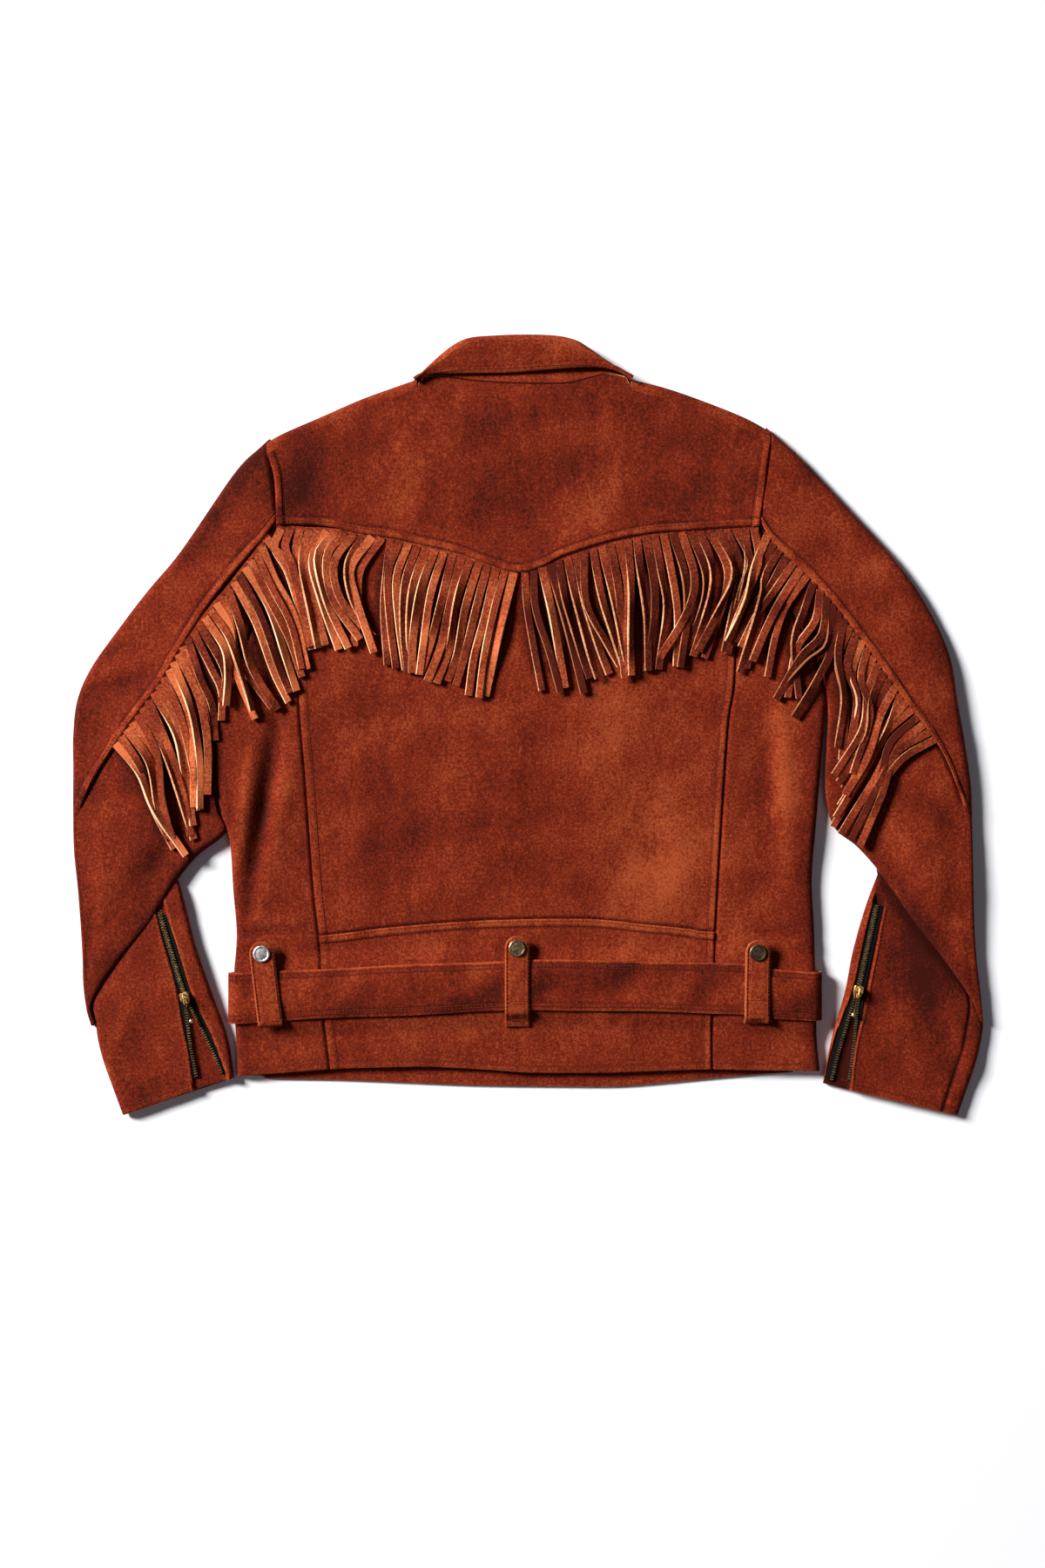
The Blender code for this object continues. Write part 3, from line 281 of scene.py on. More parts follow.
def soft_curve(points, per_span=12):
    """A dense curve that runs softly through every point."""
    p = np.array(points, float)
    p = np.vstack([2 * p[0] - p[1], p, 2 * p[-1] - p[-2]])
    t = (np.arange(per_span) / per_span)[:, None]
    out = []
    for a, b, c, d in zip(p[:-3], p[1:-2], p[2:-1], p[3:]):
        out.append(0.5 * (2 * b + (c - a) * t + (2 * a - 5 * b + 4 * c - d) * t ** 2
                          + (3 * b - a - 3 * c + d) * t ** 3))
    return np.vstack(out + [p[-2:-1]])


def along(dense):
    """How far each point of a line is from its start."""
    return np.concatenate([[0], np.cumsum(np.linalg.norm(np.diff(dense, axis=0), axis=1))])


def at_shares(dense, shares):
    """Points at shares of a line's length."""
    run = along(dense)
    return np.stack([np.interp(np.asarray(shares) * run[-1], run, dense[:, k])
                     for k in range(dense.shape[1])], axis=1)


def course(points, known):
    """A line's x at each y (known is 1), or its y at each x (known is 0)."""
    dense = soft_curve(points)
    dense = dense[np.argsort(dense[:, known])]
    return lambda at: np.interp(at, dense[:, known], dense[:, 1 - known])


side_left, side_right, princess_left, princess_right, armhole_left, armhole_right = (
    course(line, 1) for line in (SIDE_LEFT, SIDE_RIGHT, PRINCESS_LEFT, PRINCESS_RIGHT,
                                 ARMHOLE_LEFT, ARMHOLE_RIGHT))
back_hem, belt_line, waist_seam, yoke_seam = (
    course(line, 0) for line in (BACK_HEM, BELT_LINE, WAIST_SEAM, YOKE_SEAM))


def bell(off, wide):
    return np.exp(-(off / wide) ** 2)


def up_to(off, edge, soft):
    """1 before an edge and 0 past it, with a soft change."""
    return 0.5 - 0.5 * np.tanh((off - edge) / soft / 2)


def swell(x, y, table):
    """Height of soft ridges and troughs, each a stretched bell."""
    total = np.zeros(np.broadcast(x, y).shape)
    for cx, cy, turn, length, width, high in table:
        c, s = math.cos(math.radians(turn)), math.sin(math.radians(turn))
        run, side = (x - cx) * c + (y - cy) * s, (y - cy) * c - (x - cx) * s
        total = total + high * bell(run, length) * bell(side, width)
    return total


FULL_TURN = 6.283


def uneven(x, y, size, seed):
    """Smooth unevenness between about -1 and 1 that changes over the given distance."""
    total = 0
    for turn, phase, stretch in np.random.default_rng(seed).random((8, 3)):
        wave = math.pi / (size * (0.6 + stretch))
        run = x * math.cos(FULL_TURN * turn) + y * math.sin(FULL_TURN * turn)
        total = total + np.sin(run * wave + FULL_TURN * phase)
    return total / 2.9


def belt_rise(x, y):
    """The fronts climb over the belt that passes under them."""
    return np.interp(np.abs(y - belt_line(x)), [NEAR_BELT, NEAR_BELT + BELT_RAMP],
                     [BELT_THICK + LAID, 0])


def body_top(x, y):
    """Height of the back's face."""
    return (FLAT + swell(x, y, SWELLS) + swell(x, y, CREASES) + belt_rise(x, y)
            + 0.4 * uneven(x, y, 45, 1) + 0.16 * uneven(x, y, 13, 2))


def between(low, high, share):
    return lambda x: low(x) * (1 - share) + high(x) * share


def stops(length, low=True, high=True, coarse=3.4, fine=0.9, reach=10.0):
    """Shares along a length, close together near the named ends, where it is sewn."""
    near = np.arange(0, reach, fine)
    start = near if low else [0.0]
    finish = length - (near[::-1] if high else np.array([0.0]))
    a, b = (reach if low else 0), length - (reach if high else 0)
    middle = np.linspace(a, b, max(3, int((b - a) / coarse)))
    middle = middle[int(not low):len(middle) - int(not high)]
    return np.concatenate([start, middle, finish]) / length


def crossings(rail, line):
    """Where an upright rail x(y) meets a line y(x), as an array of points."""
    y = line(rail(0.0))
    for _ in range(8):
        y = line(rail(y))
    return np.stack([rail(y), y], axis=-1)


def net(rail_a, rail_b, low, high, rows, cols):
    """Points where lines across a panel meet uprights between its rails."""
    return np.array([crossings(lambda y: rail_a(y) * (1 - cols) + rail_b(y) * cols,
                               between(low, high, share)) for share in rows])


def raised(xy, height):
    return np.dstack([xy, height(xy[..., 0], xy[..., 1])])


def off_side(grid, side):
    """Distance of each point from one side of its panel."""
    flat = grid[..., :2]
    edge = {"left": flat[:, :1], "right": flat[:, -1:], "low": flat[:1], "high": flat[-1:]}[side]
    return np.linalg.norm(flat - edge, axis=2)


WELT = 6.5            # the raised band where a seam's turned edges lie underneath
WELT_HIGH = 1.1
UNREACHED = 99.0      # mm, further from a seam than any of its marks
STITCHED = WELT + 0.8  # from a seam to the stitching that holds its welt


def sewn(grid, sides, fade=1.0):
    """Presses a panel's sewn sides into shape. Returns the points and how pale or dark each one
    is painted: by wear, and by painted shade.

    A welt stands proud up to its stitching, a pressed seam hardly does, a tucked side dips under
    its neighbour and is painted darker there as shade, and a hem is a turned edge stitched further
    in. Crease troughs are painted darker as shade, crease ridges paler as rubbed nap. Where fade
    is 0 instead of 1, a row's first side is left as it is.
    """
    grid = np.array(grid)
    x, y = grid[..., 0], grid[..., 1]
    # crease ridges are painted paler as rubbed nap, and crease troughs darker as painted shade
    wear_and_shade = (0.16 * uneven(x, y, 30, 5) + CREASE_RUB_AND_SHADE * swell(x, y, CREASES)
            + swell(x, y, BRUSHED_PATCHES))
    lift = np.zeros(x.shape)
    for side, kind in sides.items():
        off = off_side(grid, side) + (1 - np.reshape(fade, (-1, 1))) * UNREACHED
        fade = 1.0
        if kind == "welt":
            band = up_to(off, WELT, 0.55)
            lift += WELT_HIGH * band - 1.2 * bell(off, 0.8) - 0.5 * bell(off - WELT - 0.9, 0.8)
            wear_and_shade += (0.45 + 0.35 * uneven(x, y, 9, 4)) * band - 0.8 * bell(off - WELT - 1, 0.9)
        if kind == "pressed":
            lift += 0.35 * up_to(off, WELT, 1.2) - bell(off, 0.7) - 0.2 * bell(off - STITCHED, 0.8)
            wear_and_shade += 0.4 * bell(off - 3.4, 2.4) - 0.3 * bell(off, 1) - 0.6 * bell(off - STITCHED, 0.8)
        if kind == "tucked":
            lift -= 1.5 * bell(off, 2.0)
            # painted shade in the dip where the side tucks under its neighbour
            wear_and_shade -= 1.1 * bell(off, 1.6)
        if kind == "hem":
            lift += 0.35 * up_to(off, 5.5, 0.5) - 0.9 * bell(off, 0.8)
            wear_and_shade += 0.9 * bell(off, 1.3) - 0.4 * bell(off - 6.2, 0.9)
    grid[..., 2] += lift * np.clip((grid[..., 2] - 3) / 4, 0, 1)
    return grid, wear_and_shade


def piece(name, points, faces, mats, slot, nodes=(), body="jacket", wear_and_shade=None, kinds=None,
          sharp=45):
    """A mesh piece from points in millimetres, riding on a body in place of CAD nodes."""
    mesh = bpy.data.meshes.new(name)
    mesh.from_pydata((np.asarray(points) * MM).tolist(), [], faces)
    attribute = mesh.attributes.new("wear_and_shade", "FLOAT", "POINT")
    if wear_and_shade is not None:
        attribute.data.foreach_set("value", np.asarray(wear_and_shade, float).ravel())
    for mat in mats:
        mesh.materials.append(mat)
    if kinds is not None:
        mesh.polygons.foreach_set("material_index", kinds)
    bm = bmesh.new()
    bm.from_mesh(mesh)
    bmesh.ops.recalc_face_normals(bm, faces=bm.faces)
    bm.to_mesh(mesh)
    bm.free()
    mesh.shade_smooth()
    mesh.set_sharp_from_angle(angle=math.radians(sharp))
    obj = bpy.data.objects.new(name, mesh)
    bpy.context.collection.objects.link(obj)
    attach(obj, body)
    if nodes:
        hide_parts(*nodes)
    return obj


panels = {}           # the pieces of cloth by name


def cloth(name, grid, wear_and_shade, cut, wall=WALL, ring=False, upright=False, inside=lining_cotton):
    """A wall of cloth inside a grid of outer points: face, lining and cut edges.

    The cut, its flat width and length in metres and its area in square metres, is not used.
    """
    step = np.gradient(grid, axis=1)
    if ring:
        step = np.roll(grid, -1, axis=1) - np.roll(grid, 1, axis=1)
    facing = unit(np.cross(step, np.gradient(grid, axis=0)))
    lined = grid - (np.array([0, 0, 1.0]) if upright else facing) * wall
    lined[..., 2] = np.maximum(lined[..., 2], 0)
    half = grid[..., 0].size
    index = np.arange(half).reshape(grid.shape[:2])
    if ring:
        index = np.hstack([index, index[:, :1]])
    rims = [index[0], index[-1]] + ([] if ring else [index[:, 0], index[:, -1]])
    outer = np.stack([index[:-1, :-1], index[:-1, 1:], index[1:, 1:], index[1:, :-1]],
                     axis=-1).reshape(-1, 4)
    edge = np.vstack([np.stack([r[:-1], r[1:], r[1:] + half, r[:-1] + half], axis=1)
                      for r in rims])
    panel = piece(name, np.concatenate([grid.reshape(-1, 3), lined.reshape(-1, 3)]),
                  np.vstack([outer, outer[:, ::-1] + half, edge]).tolist(),
                  [body_suede, inside, raw_edge], "suede", [name],
                  wear_and_shade=np.concatenate([np.ravel(wear_and_shade), np.zeros(half)]),
                  kinds=np.repeat([0, 1, 2], [len(outer), len(outer), len(edge)]))
    panels[name] = panel


seams = []            # lines of stitching to sew, as points on the cloth


def stitch_line(grid, side, off):
    """Marks stitching at a distance from one side of a panel."""
    far = off_side(grid, side)
    if side in ("left", "right"):
        grid, far = grid.transpose(1, 0, 2), far.T
    seams.append(grid[np.argmin(np.abs(far[:, far.shape[1] // 2] - off))])


BACK_WIDE = 385.0
UPPER_LONG = 340.0    # back from the waist seam to the yoke
LOWER_LONG = 130.0    # back from the hem to the waist seam
HEM_STITCHED = 6.0
UPRIGHT_SEAMS = [("left", STITCHED), ("right", STITCHED)]
for name, low, high, long, ends, stitched, cut in (
        ("back_centre", waist_seam, yoke_seam, UPPER_LONG, ("tucked", "tucked"), UPRIGHT_SEAMS,
         (0.398, 0.362, 0.132)),
        ("back_waist", back_hem, waist_seam, LOWER_LONG, ("hem", "welt"),
         UPRIGHT_SEAMS + [("high", 2.0), ("high", STITCHED), ("low", HEM_STITCHED)],
         (0.360, 0.140, 0.047))):
    grid, wear_and_shade = sewn(raised(net(princess_left, princess_right, low, high, stops(long),
                                 stops(BACK_WIDE)), body_top),
                      {"left": "pressed", "right": "pressed", "low": ends[0], "high": ends[1]})
    cloth(name, grid, wear_and_shade, cut)
    for side, off in stitched:
        stitch_line(grid, side, off)

# The side panels fold round the sides and end underneath, where the fronts are sewn on.


def rounded(edge, inner, depth, top, low, count=8):
    """A folded edge from the top face over and under: its points, and where it starts and ends."""
    way = unit(np.gradient(edge, axis=0))
    inward = unit(inner - edge)
    slant = np.abs(way[:, 0] * inward[:, 1] - way[:, 1] * inward[:, 0])
    reach = inward * (depth / np.maximum(slant, 0.5))[:, None]
    start = edge + reach
    high, base = top(start[:, 0], start[:, 1]), low(start[:, 0], start[:, 1])
    points = []
    for k in range(1, count + 1):
        turn = math.pi * k / (count + 1)
        xy = edge + reach * (1 - math.sin(turn))
        z = (high + base) / 2 + (high - base) / 2 * math.cos(turn)
        points.append(np.column_stack([xy, z]))
    return np.stack(points, axis=1), start


def spread(a, b, shares):
    """Rows of points from one line to another at the given shares of the way."""
    u = np.asarray(shares)[None, :, None]
    return a[:, None] * (1 - u) + b[:, None] * u


def folded(edge, seam, under, shares, depth, top, low, leftward):
    """A panel from underneath, round the fold at its edge, to a seam on its top face."""
    nose, start = rounded(edge, seam, depth, top, low)
    upper = raised(spread(start, seam, shares), top)
    lower = raised(spread(under, start, np.linspace(0, 1, 5)), low)
    grid = np.concatenate([lower, nose[:, ::-1], upper], axis=1)
    return grid if leftward else grid[:, ::-1]


def side_rows(rail):
    """Where a rail meets the lines across the lower and then the upper body."""
    lower = [crossings(rail, between(back_hem, waist_seam, s))
             for s in stops(LOWER_LONG, True, False)]
    upper = [crossings(rail, between(waist_seam, yoke_seam, s)) for s in stops(UPPER_LONG, False)]
    return np.array(lower + upper)


def tucked_under(grid, count):
    """Carries a panel's upper end on under its neighbours, as the seam's turned edge."""
    way = unit((grid[-1] - grid[-3])[:, :2])
    rows = []
    for k in range(1, count + 1):
        row = grid[-1].copy()
        row[:, :2] += way * 2.0 * k
        row[:, 2] -= 0.9 * k * np.clip((row[:, 2] - 5) / 3, 0, 1)
        rows.append(row)
    return np.concatenate([grid, np.array(rows)])


def lap_under(y):
    """How far the seam with the front lies in from the side's edge."""
    return np.interp(y, [100, ARMPIT], [SIDE_LAP, ARMPIT_LAP])


for name, edge, princess, turn, seam_side, cut in (
        ("left", side_left, princess_left, 1, "right", (0.114, 0.505, 0.0465)),
        ("right", side_right, princess_right, -1, "left", (0.124, 0.500, 0.0515))):
    rim, seam = side_rows(edge), side_rows(princess)
    under = np.column_stack([rim[:, 0] + lap_under(rim[:, 1]) * turn, rim[:, 1]])
    depth = np.interp(rim[:, 1], [30, 110], [EDGE_ROUND, SEAM_ROUND])
    grid = folded(rim, seam, under, stops(70.0, False), depth, body_top, belt_rise, turn > 0)
    from_fold = np.linalg.norm(grid[..., :2] - rim[:, None], axis=2)
    grid, wear_and_shade = sewn(tucked_under(grid, 2), {seam_side: "tucked", "low": "hem"})
    # painted shade: darker towards the folded edge
    wear_and_shade[:-2] -= 0.45 * bell(from_fold, EDGE_SHADE_REACH)
    cloth("side_back_" + name, grid, wear_and_shade, cut)
    stitch_line(grid, "low", HEM_STITCHED)

# The yoke: one pointed piece across the shoulders. Its lower edge is turned under and sewn down
# over the fringe's backing, so it stands a little above the back.

SHOULDER_LEFT = [(-239, 254), (-222, 264), (-188, 279), (-149, 296), (-101, 313)]
SHOULDER_RIGHT = [(94, 313), (129, 304), (168, 290), (199, 277), (221, 264)]
NECK_SEAM = [(-101, 313), (-84, 315), (-69, 314), (-45, 311), (-15, 309), (33, 309), (55, 314),
             (71, 317), (94, 313)]
SHOULDER_SEAM = 3.6   # front carried over the shoulder's fold to the yoke
YOKE_LIFT = 2.4
NECK_HALF = 102       # from the middle to the neck seam's ends


def shoulder_fold(edge):
    return rounded(edge, edge + np.array([0, -30.0]), EDGE_ROUND, body_top, belt_rise)


yoke_rim = np.vstack([shoulder_fold(soft_curve(SHOULDER_LEFT))[1] - [0, SHOULDER_SEAM],
                      soft_curve(NECK_SEAM)[3:-3],
                      shoulder_fold(soft_curve(SHOULDER_RIGHT))[1] - [0, SHOULDER_SEAM]])


def yoke_top(x):
    return np.interp(x, yoke_rim[:, 0], yoke_rim[:, 1])


grid = raised(net(armhole_left, armhole_right, yoke_seam, yoke_top, stops(150.0), stops(440.0)),
              body_top)
grid[..., 2] += YOKE_LIFT * bell(off_side(grid, "low"), 16)
grid, wear_and_shade = sewn(grid, {"left": "welt", "right": "welt", "low": "welt"})
wear_and_shade[-1, np.abs(grid[-1, :, 0]) < NECK_HALF] -= 3.0   # the neck seam, pressed into a dark line
cloth("back_yoke", grid, wear_and_shade - 0.2, (0.485, 0.168, 0.057))
for side in ("left", "right", "low"):
    stitch_line(grid, side, STITCHED)

# The fronts lie on the board under the back. Each is turned up round the shoulder to the yoke, and
# the closure strip lies between them; only its end and the fronts' hem show below the back.

FRONT_HEM = [(-268, -318), (-231, -320), (-172, -321), (-99, -324), (-46, -326), (26, -327),
             (79, -327), (121, -324), (173, -319), (228, -315), (268, -313)]
FRONT_NECK_LEFT = [(-1, 272), (-40, 277), (-75, 292), (-99, 306)]
FRONT_NECK_RIGHT = [(76, 284), (82, 291), (88, 298), (93, 306)]
CLOSURE = (-1, 75)
front_hem = course(FRONT_HEM, 0)
# Lines across the front: close together at the hem, then over the belt
front_lines = [between(front_hem, lambda x: belt_line(x) - NEAR_BELT - BELT_RAMP, s)
               for s in stops(45.0, True, False)]
front_lines += [lambda x, s=s: belt_line(x) + s * (NEAR_BELT + BELT_RAMP)
                for s in np.linspace(-1, 1, 27)]


FRONT_COLS = 44
FRONT_ROWS = 84       # from the belt to the shoulder


def front(name, edge, armhole, closure, neck, shoulder, turn, cut):
    """One front, from its hem over the belt and up round the shoulder's fold."""
    tip = at_shares(soft_curve(shoulder)[::turn], np.linspace(0, 1, FRONT_COLS))
    tip[0] += unit(tip[1] - tip[0]) * 3.0
    tip[-1] -= unit(tip[-2] - tip[-1]) * 0.5

    def rail(y):
        if y < ARMPIT:
            return edge(y) + turn * (lap_under(y) + SEAM_GAP)
        return armhole(y) + turn * np.interp(y, [ARMPIT, 186, 254], [ARMPIT_LAP + SEAM_GAP, 9, 5])

    sides = [crossings(rail, line) for line in front_lines]
    middles = [[closure, line(closure)] for line in front_lines]
    sides += [[rail(y), y] for y in np.linspace(sides[-1][1], tip[0][1], FRONT_ROWS)[1:]]
    middles += at_shares(np.vstack([middles[-1:], soft_curve(neck)]),
                         np.linspace(0, 1, FRONT_ROWS))[1:].tolist()
    flat = spread(np.array(sides), np.array(middles), np.linspace(0, 1, FRONT_COLS))
    for r, line in enumerate(front_lines):
        flat[r, :, 1] = line(flat[r, :, 0])
    nose, start = shoulder_fold(tip)
    flat[-1] = start
    top = raised(np.stack([start, start - [0, SHOULDER_SEAM - 0.2]]), body_top)
    grid = np.concatenate([raised(flat, belt_rise), nose[:, ::-1].transpose(1, 0, 2), top])
    grid = grid[:, ::-turn]
    wear_and_shade = 0.3 * uneven(grid[..., 0], grid[..., 1], 30, 6) + 0.6 * bell(off_side(grid, "low"), 1.5)
    cloth(name, grid, wear_and_shade, cut, inside=body_suede)


front("front_left", side_left, armhole_left, CLOSURE[0], FRONT_NECK_LEFT, SHOULDER_LEFT, 1,
      (0.268, 0.740, 0.150))
front("front_right", side_right, armhole_right, CLOSURE[1], FRONT_NECK_RIGHT, SHOULDER_RIGHT, -1,
      (0.172, 0.665, 0.095))
strip_x = np.linspace(CLOSURE[0] + 0.2, CLOSURE[1] - 0.2, 24)
strip_lines = front_lines + [lambda x, y=y: y + 0 * x for y in np.linspace(-190, 270, 80)]
strip = raised(np.array([np.stack([strip_x, line(strip_x)], axis=1) for line in strip_lines]),
               belt_rise)[:, ::-1]
cloth("front_placket", strip, 0.5 + 0.9 * bell(off_side(strip, "low"), 1.5), (0.076, 0.598, 0.045),
      inside=body_suede)

# The collar rolls over at the top: the fall lies over the neck seam with a stitched edge, the stand
# rises inside it, and the front half lies beneath.

COLLAR_TOP = [(-102.5, 312.5), (-94, 321), (-80, 334), (-67, 344), (-53, 350), (-32, 352), (-5, 353),
              (25, 352), (43, 348), (55, 341), (72, 329), (87, 319.5), (94, 313.5)]
COLLAR_LOW = [(-102.5, 310.5), (-95, 313), (-86, 316.5), (-60, 317.5), (-18, 318), (21, 321),
              (56, 323), (77, 320), (94, 312)]
FALL_LOW = 14.0
FALL_RISE = 2.0
STAND_LOW = 3.0
STAND_ROWS = 9
COLLAR_COLS = 90
collar_shares = np.linspace(0, 1, COLLAR_COLS)
fall_low = at_shares(soft_curve(COLLAR_LOW), collar_shares)
fall_top = at_shares(soft_curve(COLLAR_TOP), collar_shares)
collar_wide = np.linalg.norm(fall_top - fall_low, axis=1)
nose, roll = rounded(fall_top, fall_low, np.minimum(6.0, collar_wide * 0.3),
                     lambda x, y: FALL_LOW + FALL_RISE + 0 * x, lambda x, y: STAND_LOW + 0 * x)
fall = spread(fall_low, roll, stops(28.0, True, False, 2.4)).transpose(1, 0, 2)
share = (off_side(fall, "low") / np.maximum(off_side(fall, "low")[-1], 1))
uneven_rise = FALL_RISE + 0.35 * uneven(fall[..., 0], fall[..., 1], 14, 3)
fall = np.dstack([fall, FALL_LOW + uneven_rise * share])
ends = np.stack([np.column_stack([roll, np.full(COLLAR_COLS, FALL_LOW + FALL_RISE)])]
                + [nose[:, k] for k in range(nose.shape[1])]
                + [np.column_stack([roll * (1 - s) + fall_low * s, np.full(COLLAR_COLS, STAND_LOW)])
                   for s in (0, 0.12, 0.25)])
grid, wear_and_shade = sewn(np.concatenate([fall, ends]), {"low": "hem"})
wear_and_shade += 0.5 * bell(np.arange(len(wear_and_shade)) - len(fall), 3.0)[:, None]
cloth("collar_fall", grid, wear_and_shade, (0.192, 0.054, 0.0077), inside=body_suede)
stitch_line(grid, "low", 3.6)

neck_x = np.linspace(-100.3, 93.2, COLLAR_COLS)
neck_y = yoke_top(neck_x) + 1.0
lap_line = roll * 0.75 + fall_low * 0.25
lap_y = np.interp(neck_x, lap_line[:, 0], lap_line[:, 1]) - 1.0
stand = [np.column_stack([neck_x, neck_y * (1 - s) + lap_y * s,
                          body_top(neck_x, neck_y) * (1 - s) + (STAND_LOW + WALL) * s])
         for s in np.linspace(0, 1, STAND_ROWS)]
cloth("collar_stand", np.array(stand), np.full((STAND_ROWS, COLLAR_COLS), 0.1),
      (0.196, 0.031, 0.0045))
front_neck = np.vstack([soft_curve(FRONT_NECK_LEFT)[::-1], soft_curve(FRONT_NECK_RIGHT)])
under_collar = spread(at_shares(front_neck, collar_shares) + [0, 2.6], fall_top + [0, -3.0],
                      np.linspace(0, 1, 16)).transpose(1, 0, 2)[:, ::-1]
cloth("collar_front", raised(under_collar, lambda x, y: 0 * x), np.zeros(under_collar.shape[:2]),
      (0.205, 0.076, 0.0106), inside=body_suede)

# The belt: one band of doubled suede with two rows of stitching along each edge. It runs round the
# waist under the fronts, and its ends stand out a little at the sides.

BELT_STAND = 5.5
BELT_NOSE = 11.0
BELT_STITCHED = (3.2, 6.6)   # the two rows of stitching, from either edge
belt_left = float(side_left(belt_line(-270)) - BELT_STAND)
belt_right = float(side_right(belt_line(270)) + BELT_STAND)
belt_x = np.linspace(belt_left + BELT_NOSE, belt_right - BELT_NOSE, 210)
turns = np.pi * np.arange(1, 12) / 12
belt_shares = stops(BELT_WIDTH, True, True, 3.0)
belt_rows = []
for share in belt_shares:
    off = (share - 0.5) * BELT_WIDTH
    rim = math.exp(-((0.5 - abs(share - 0.5)) * BELT_WIDTH / 1.2) ** 2)
    crown = 0.5 * (1 - (2 * share - 1) ** 2)
    sway = 0.5 * np.sin(belt_x / 23.0) * (1 if off > 0 else -1) * (2 * share - 1) ** 2
    y = belt_line(belt_x) + off + sway
    z = body_top(belt_x, belt_line(belt_x) + off) + LAID + BELT_THICK + crown - 0.9 * rim
    z += 0.35 * uneven(belt_x, y, 22, 8)
    right, left = ([(belt_x[k] + out * BELT_NOSE * math.sin(t), y[k], z[k] / 2 * (1 + math.cos(t)))
                    for t in turns[::out]] for k, out in ((-1, 1), (0, -1)))
    floor = np.column_stack([belt_x, y, 0 * belt_x])[::-1]
    belt_rows.append(np.vstack([np.column_stack([belt_x, y, z]), right, floor, left]))
belt_grid = np.array(belt_rows)
belt_off = (0.5 - np.abs(belt_shares - 0.5)) * BELT_WIDTH
stitched = bell(belt_off - BELT_STITCHED[0], 0.8) + bell(belt_off - BELT_STITCHED[1], 0.8)
belt_grid[:, :len(belt_x), 2] -= 0.45 * stitched[:, None]
belt_worn = (1.1 * bell(belt_off, 1.3) - 0.6 * stitched - 0.25)[:, None] + 0.4 * uneven(
    belt_grid[..., 0], belt_grid[..., 1], 26, 9)
cloth("belt", belt_grid, belt_worn, (1.09, 0.046, 0.0494), BELT_THICK,
      ring=True, inside=body_suede)
for at in BELT_STITCHED:
    row = int(np.argmin(np.abs(belt_off[:len(belt_off) // 2] - at)))
    seams += [belt_grid[row, :len(belt_x)], belt_grid[-1 - row, :len(belt_x)]]

# Belt loops: straps with a rounded head, stitched round the edge, sewn down below the belt and held
# above it by a snap, whose stud passes through to a socket underneath.

BELT_LOOPS = {"left": (-240, -206, -232, -272), "centre": (-10, -201, -10, -272),
              "right": (207, -205, 206, -269)}
LOOP_WIDTH = 22.0
LOOP_THICK = 2.0
LOOP_HEAD = 11.0
SNAP_DIAMETER = 15.3


def over_belt(x, y):
    """Height of the loops' underside, on the belt and on the back below it."""
    below = belt_line(x) - y
    cloth_rise = np.interp(below, [NEAR_BELT, NEAR_BELT + BELT_RAMP], [BELT_THICK + LAID, 0])
    band = np.interp(below, [BELT_WIDTH / 2 + 3, BELT_WIDTH / 2 + 9], [BELT_THICK + LAID, 0])
    return FLAT + swell(x, y, SWELLS) + cloth_rise + LAID + band + 0.5


def metal(name, dark, light, rough, grain):
    """Plated metal, darker where the plating has tarnished."""
    mat, tree, shader = material(name, {"Metallic": 1.0})
    place = add(tree, "ShaderNodeTexCoord").outputs["Object"]
    spots = add(tree, "ShaderNodeTexNoise", {"Vector": place, "Scale": 1000 / grain,
                                             "Detail": 4.0, "Roughness": 0.65}).outputs["Fac"]
    ramp = add(tree, "ShaderNodeValToRGB", {"Fac": spots})
    for stop, at, colour in zip(ramp.color_ramp.elements, (0.35, 0.68), (dark, light)):
        stop.position, stop.color = at, linear(colour)
    scuff = add(tree, "ShaderNodeMapRange", {"Value": spots, "To Min": rough - 0.1,
                                             "To Max": rough + 0.15})
    tree.links.new(ramp.outputs["Color"], shader.inputs["Base Color"])
    tree.links.new(scuff.outputs["Result"], shader.inputs["Roughness"])
    return mat


snap_finish = {"left": metal("nickel_plate", "#B9B4AC", "#F2EFEA", 0.42, 3.0),
               "centre": metal("antique_brass_plate", "#7A6647", "#C9AF84", 0.36, 2.5),
               "right": metal("dark_bronze_plate", "#4A3C2C", "#8F7A5C", 0.36, 2.5)}


def solid(rings):
    """Points and faces of a solid from rings of points in turn, closed at both ends."""
    rings = np.asarray(rings, float)
    index = np.arange(rings[..., 0].size).reshape(rings.shape[:2])
    nexts = np.roll(index, -1, axis=1)
    walls = np.stack([index[:-1], nexts[:-1], nexts[1:], index[1:]], axis=-1).reshape(-1, 4)
    return rings.reshape(-1, 3), walls.tolist() + [index[0, ::-1].tolist(), index[-1].tolist()]


def turned(centre, profile, sides=48):
    """A round piece from (radius, height) pairs, its axis upright."""
    turn = 2 * np.pi * np.arange(sides) / sides
    return solid([np.column_stack([centre[0] + r * np.cos(turn), centre[1] + r * np.sin(turn),
                                   np.full(sides, centre[2] + h)]) for r, h in profile])


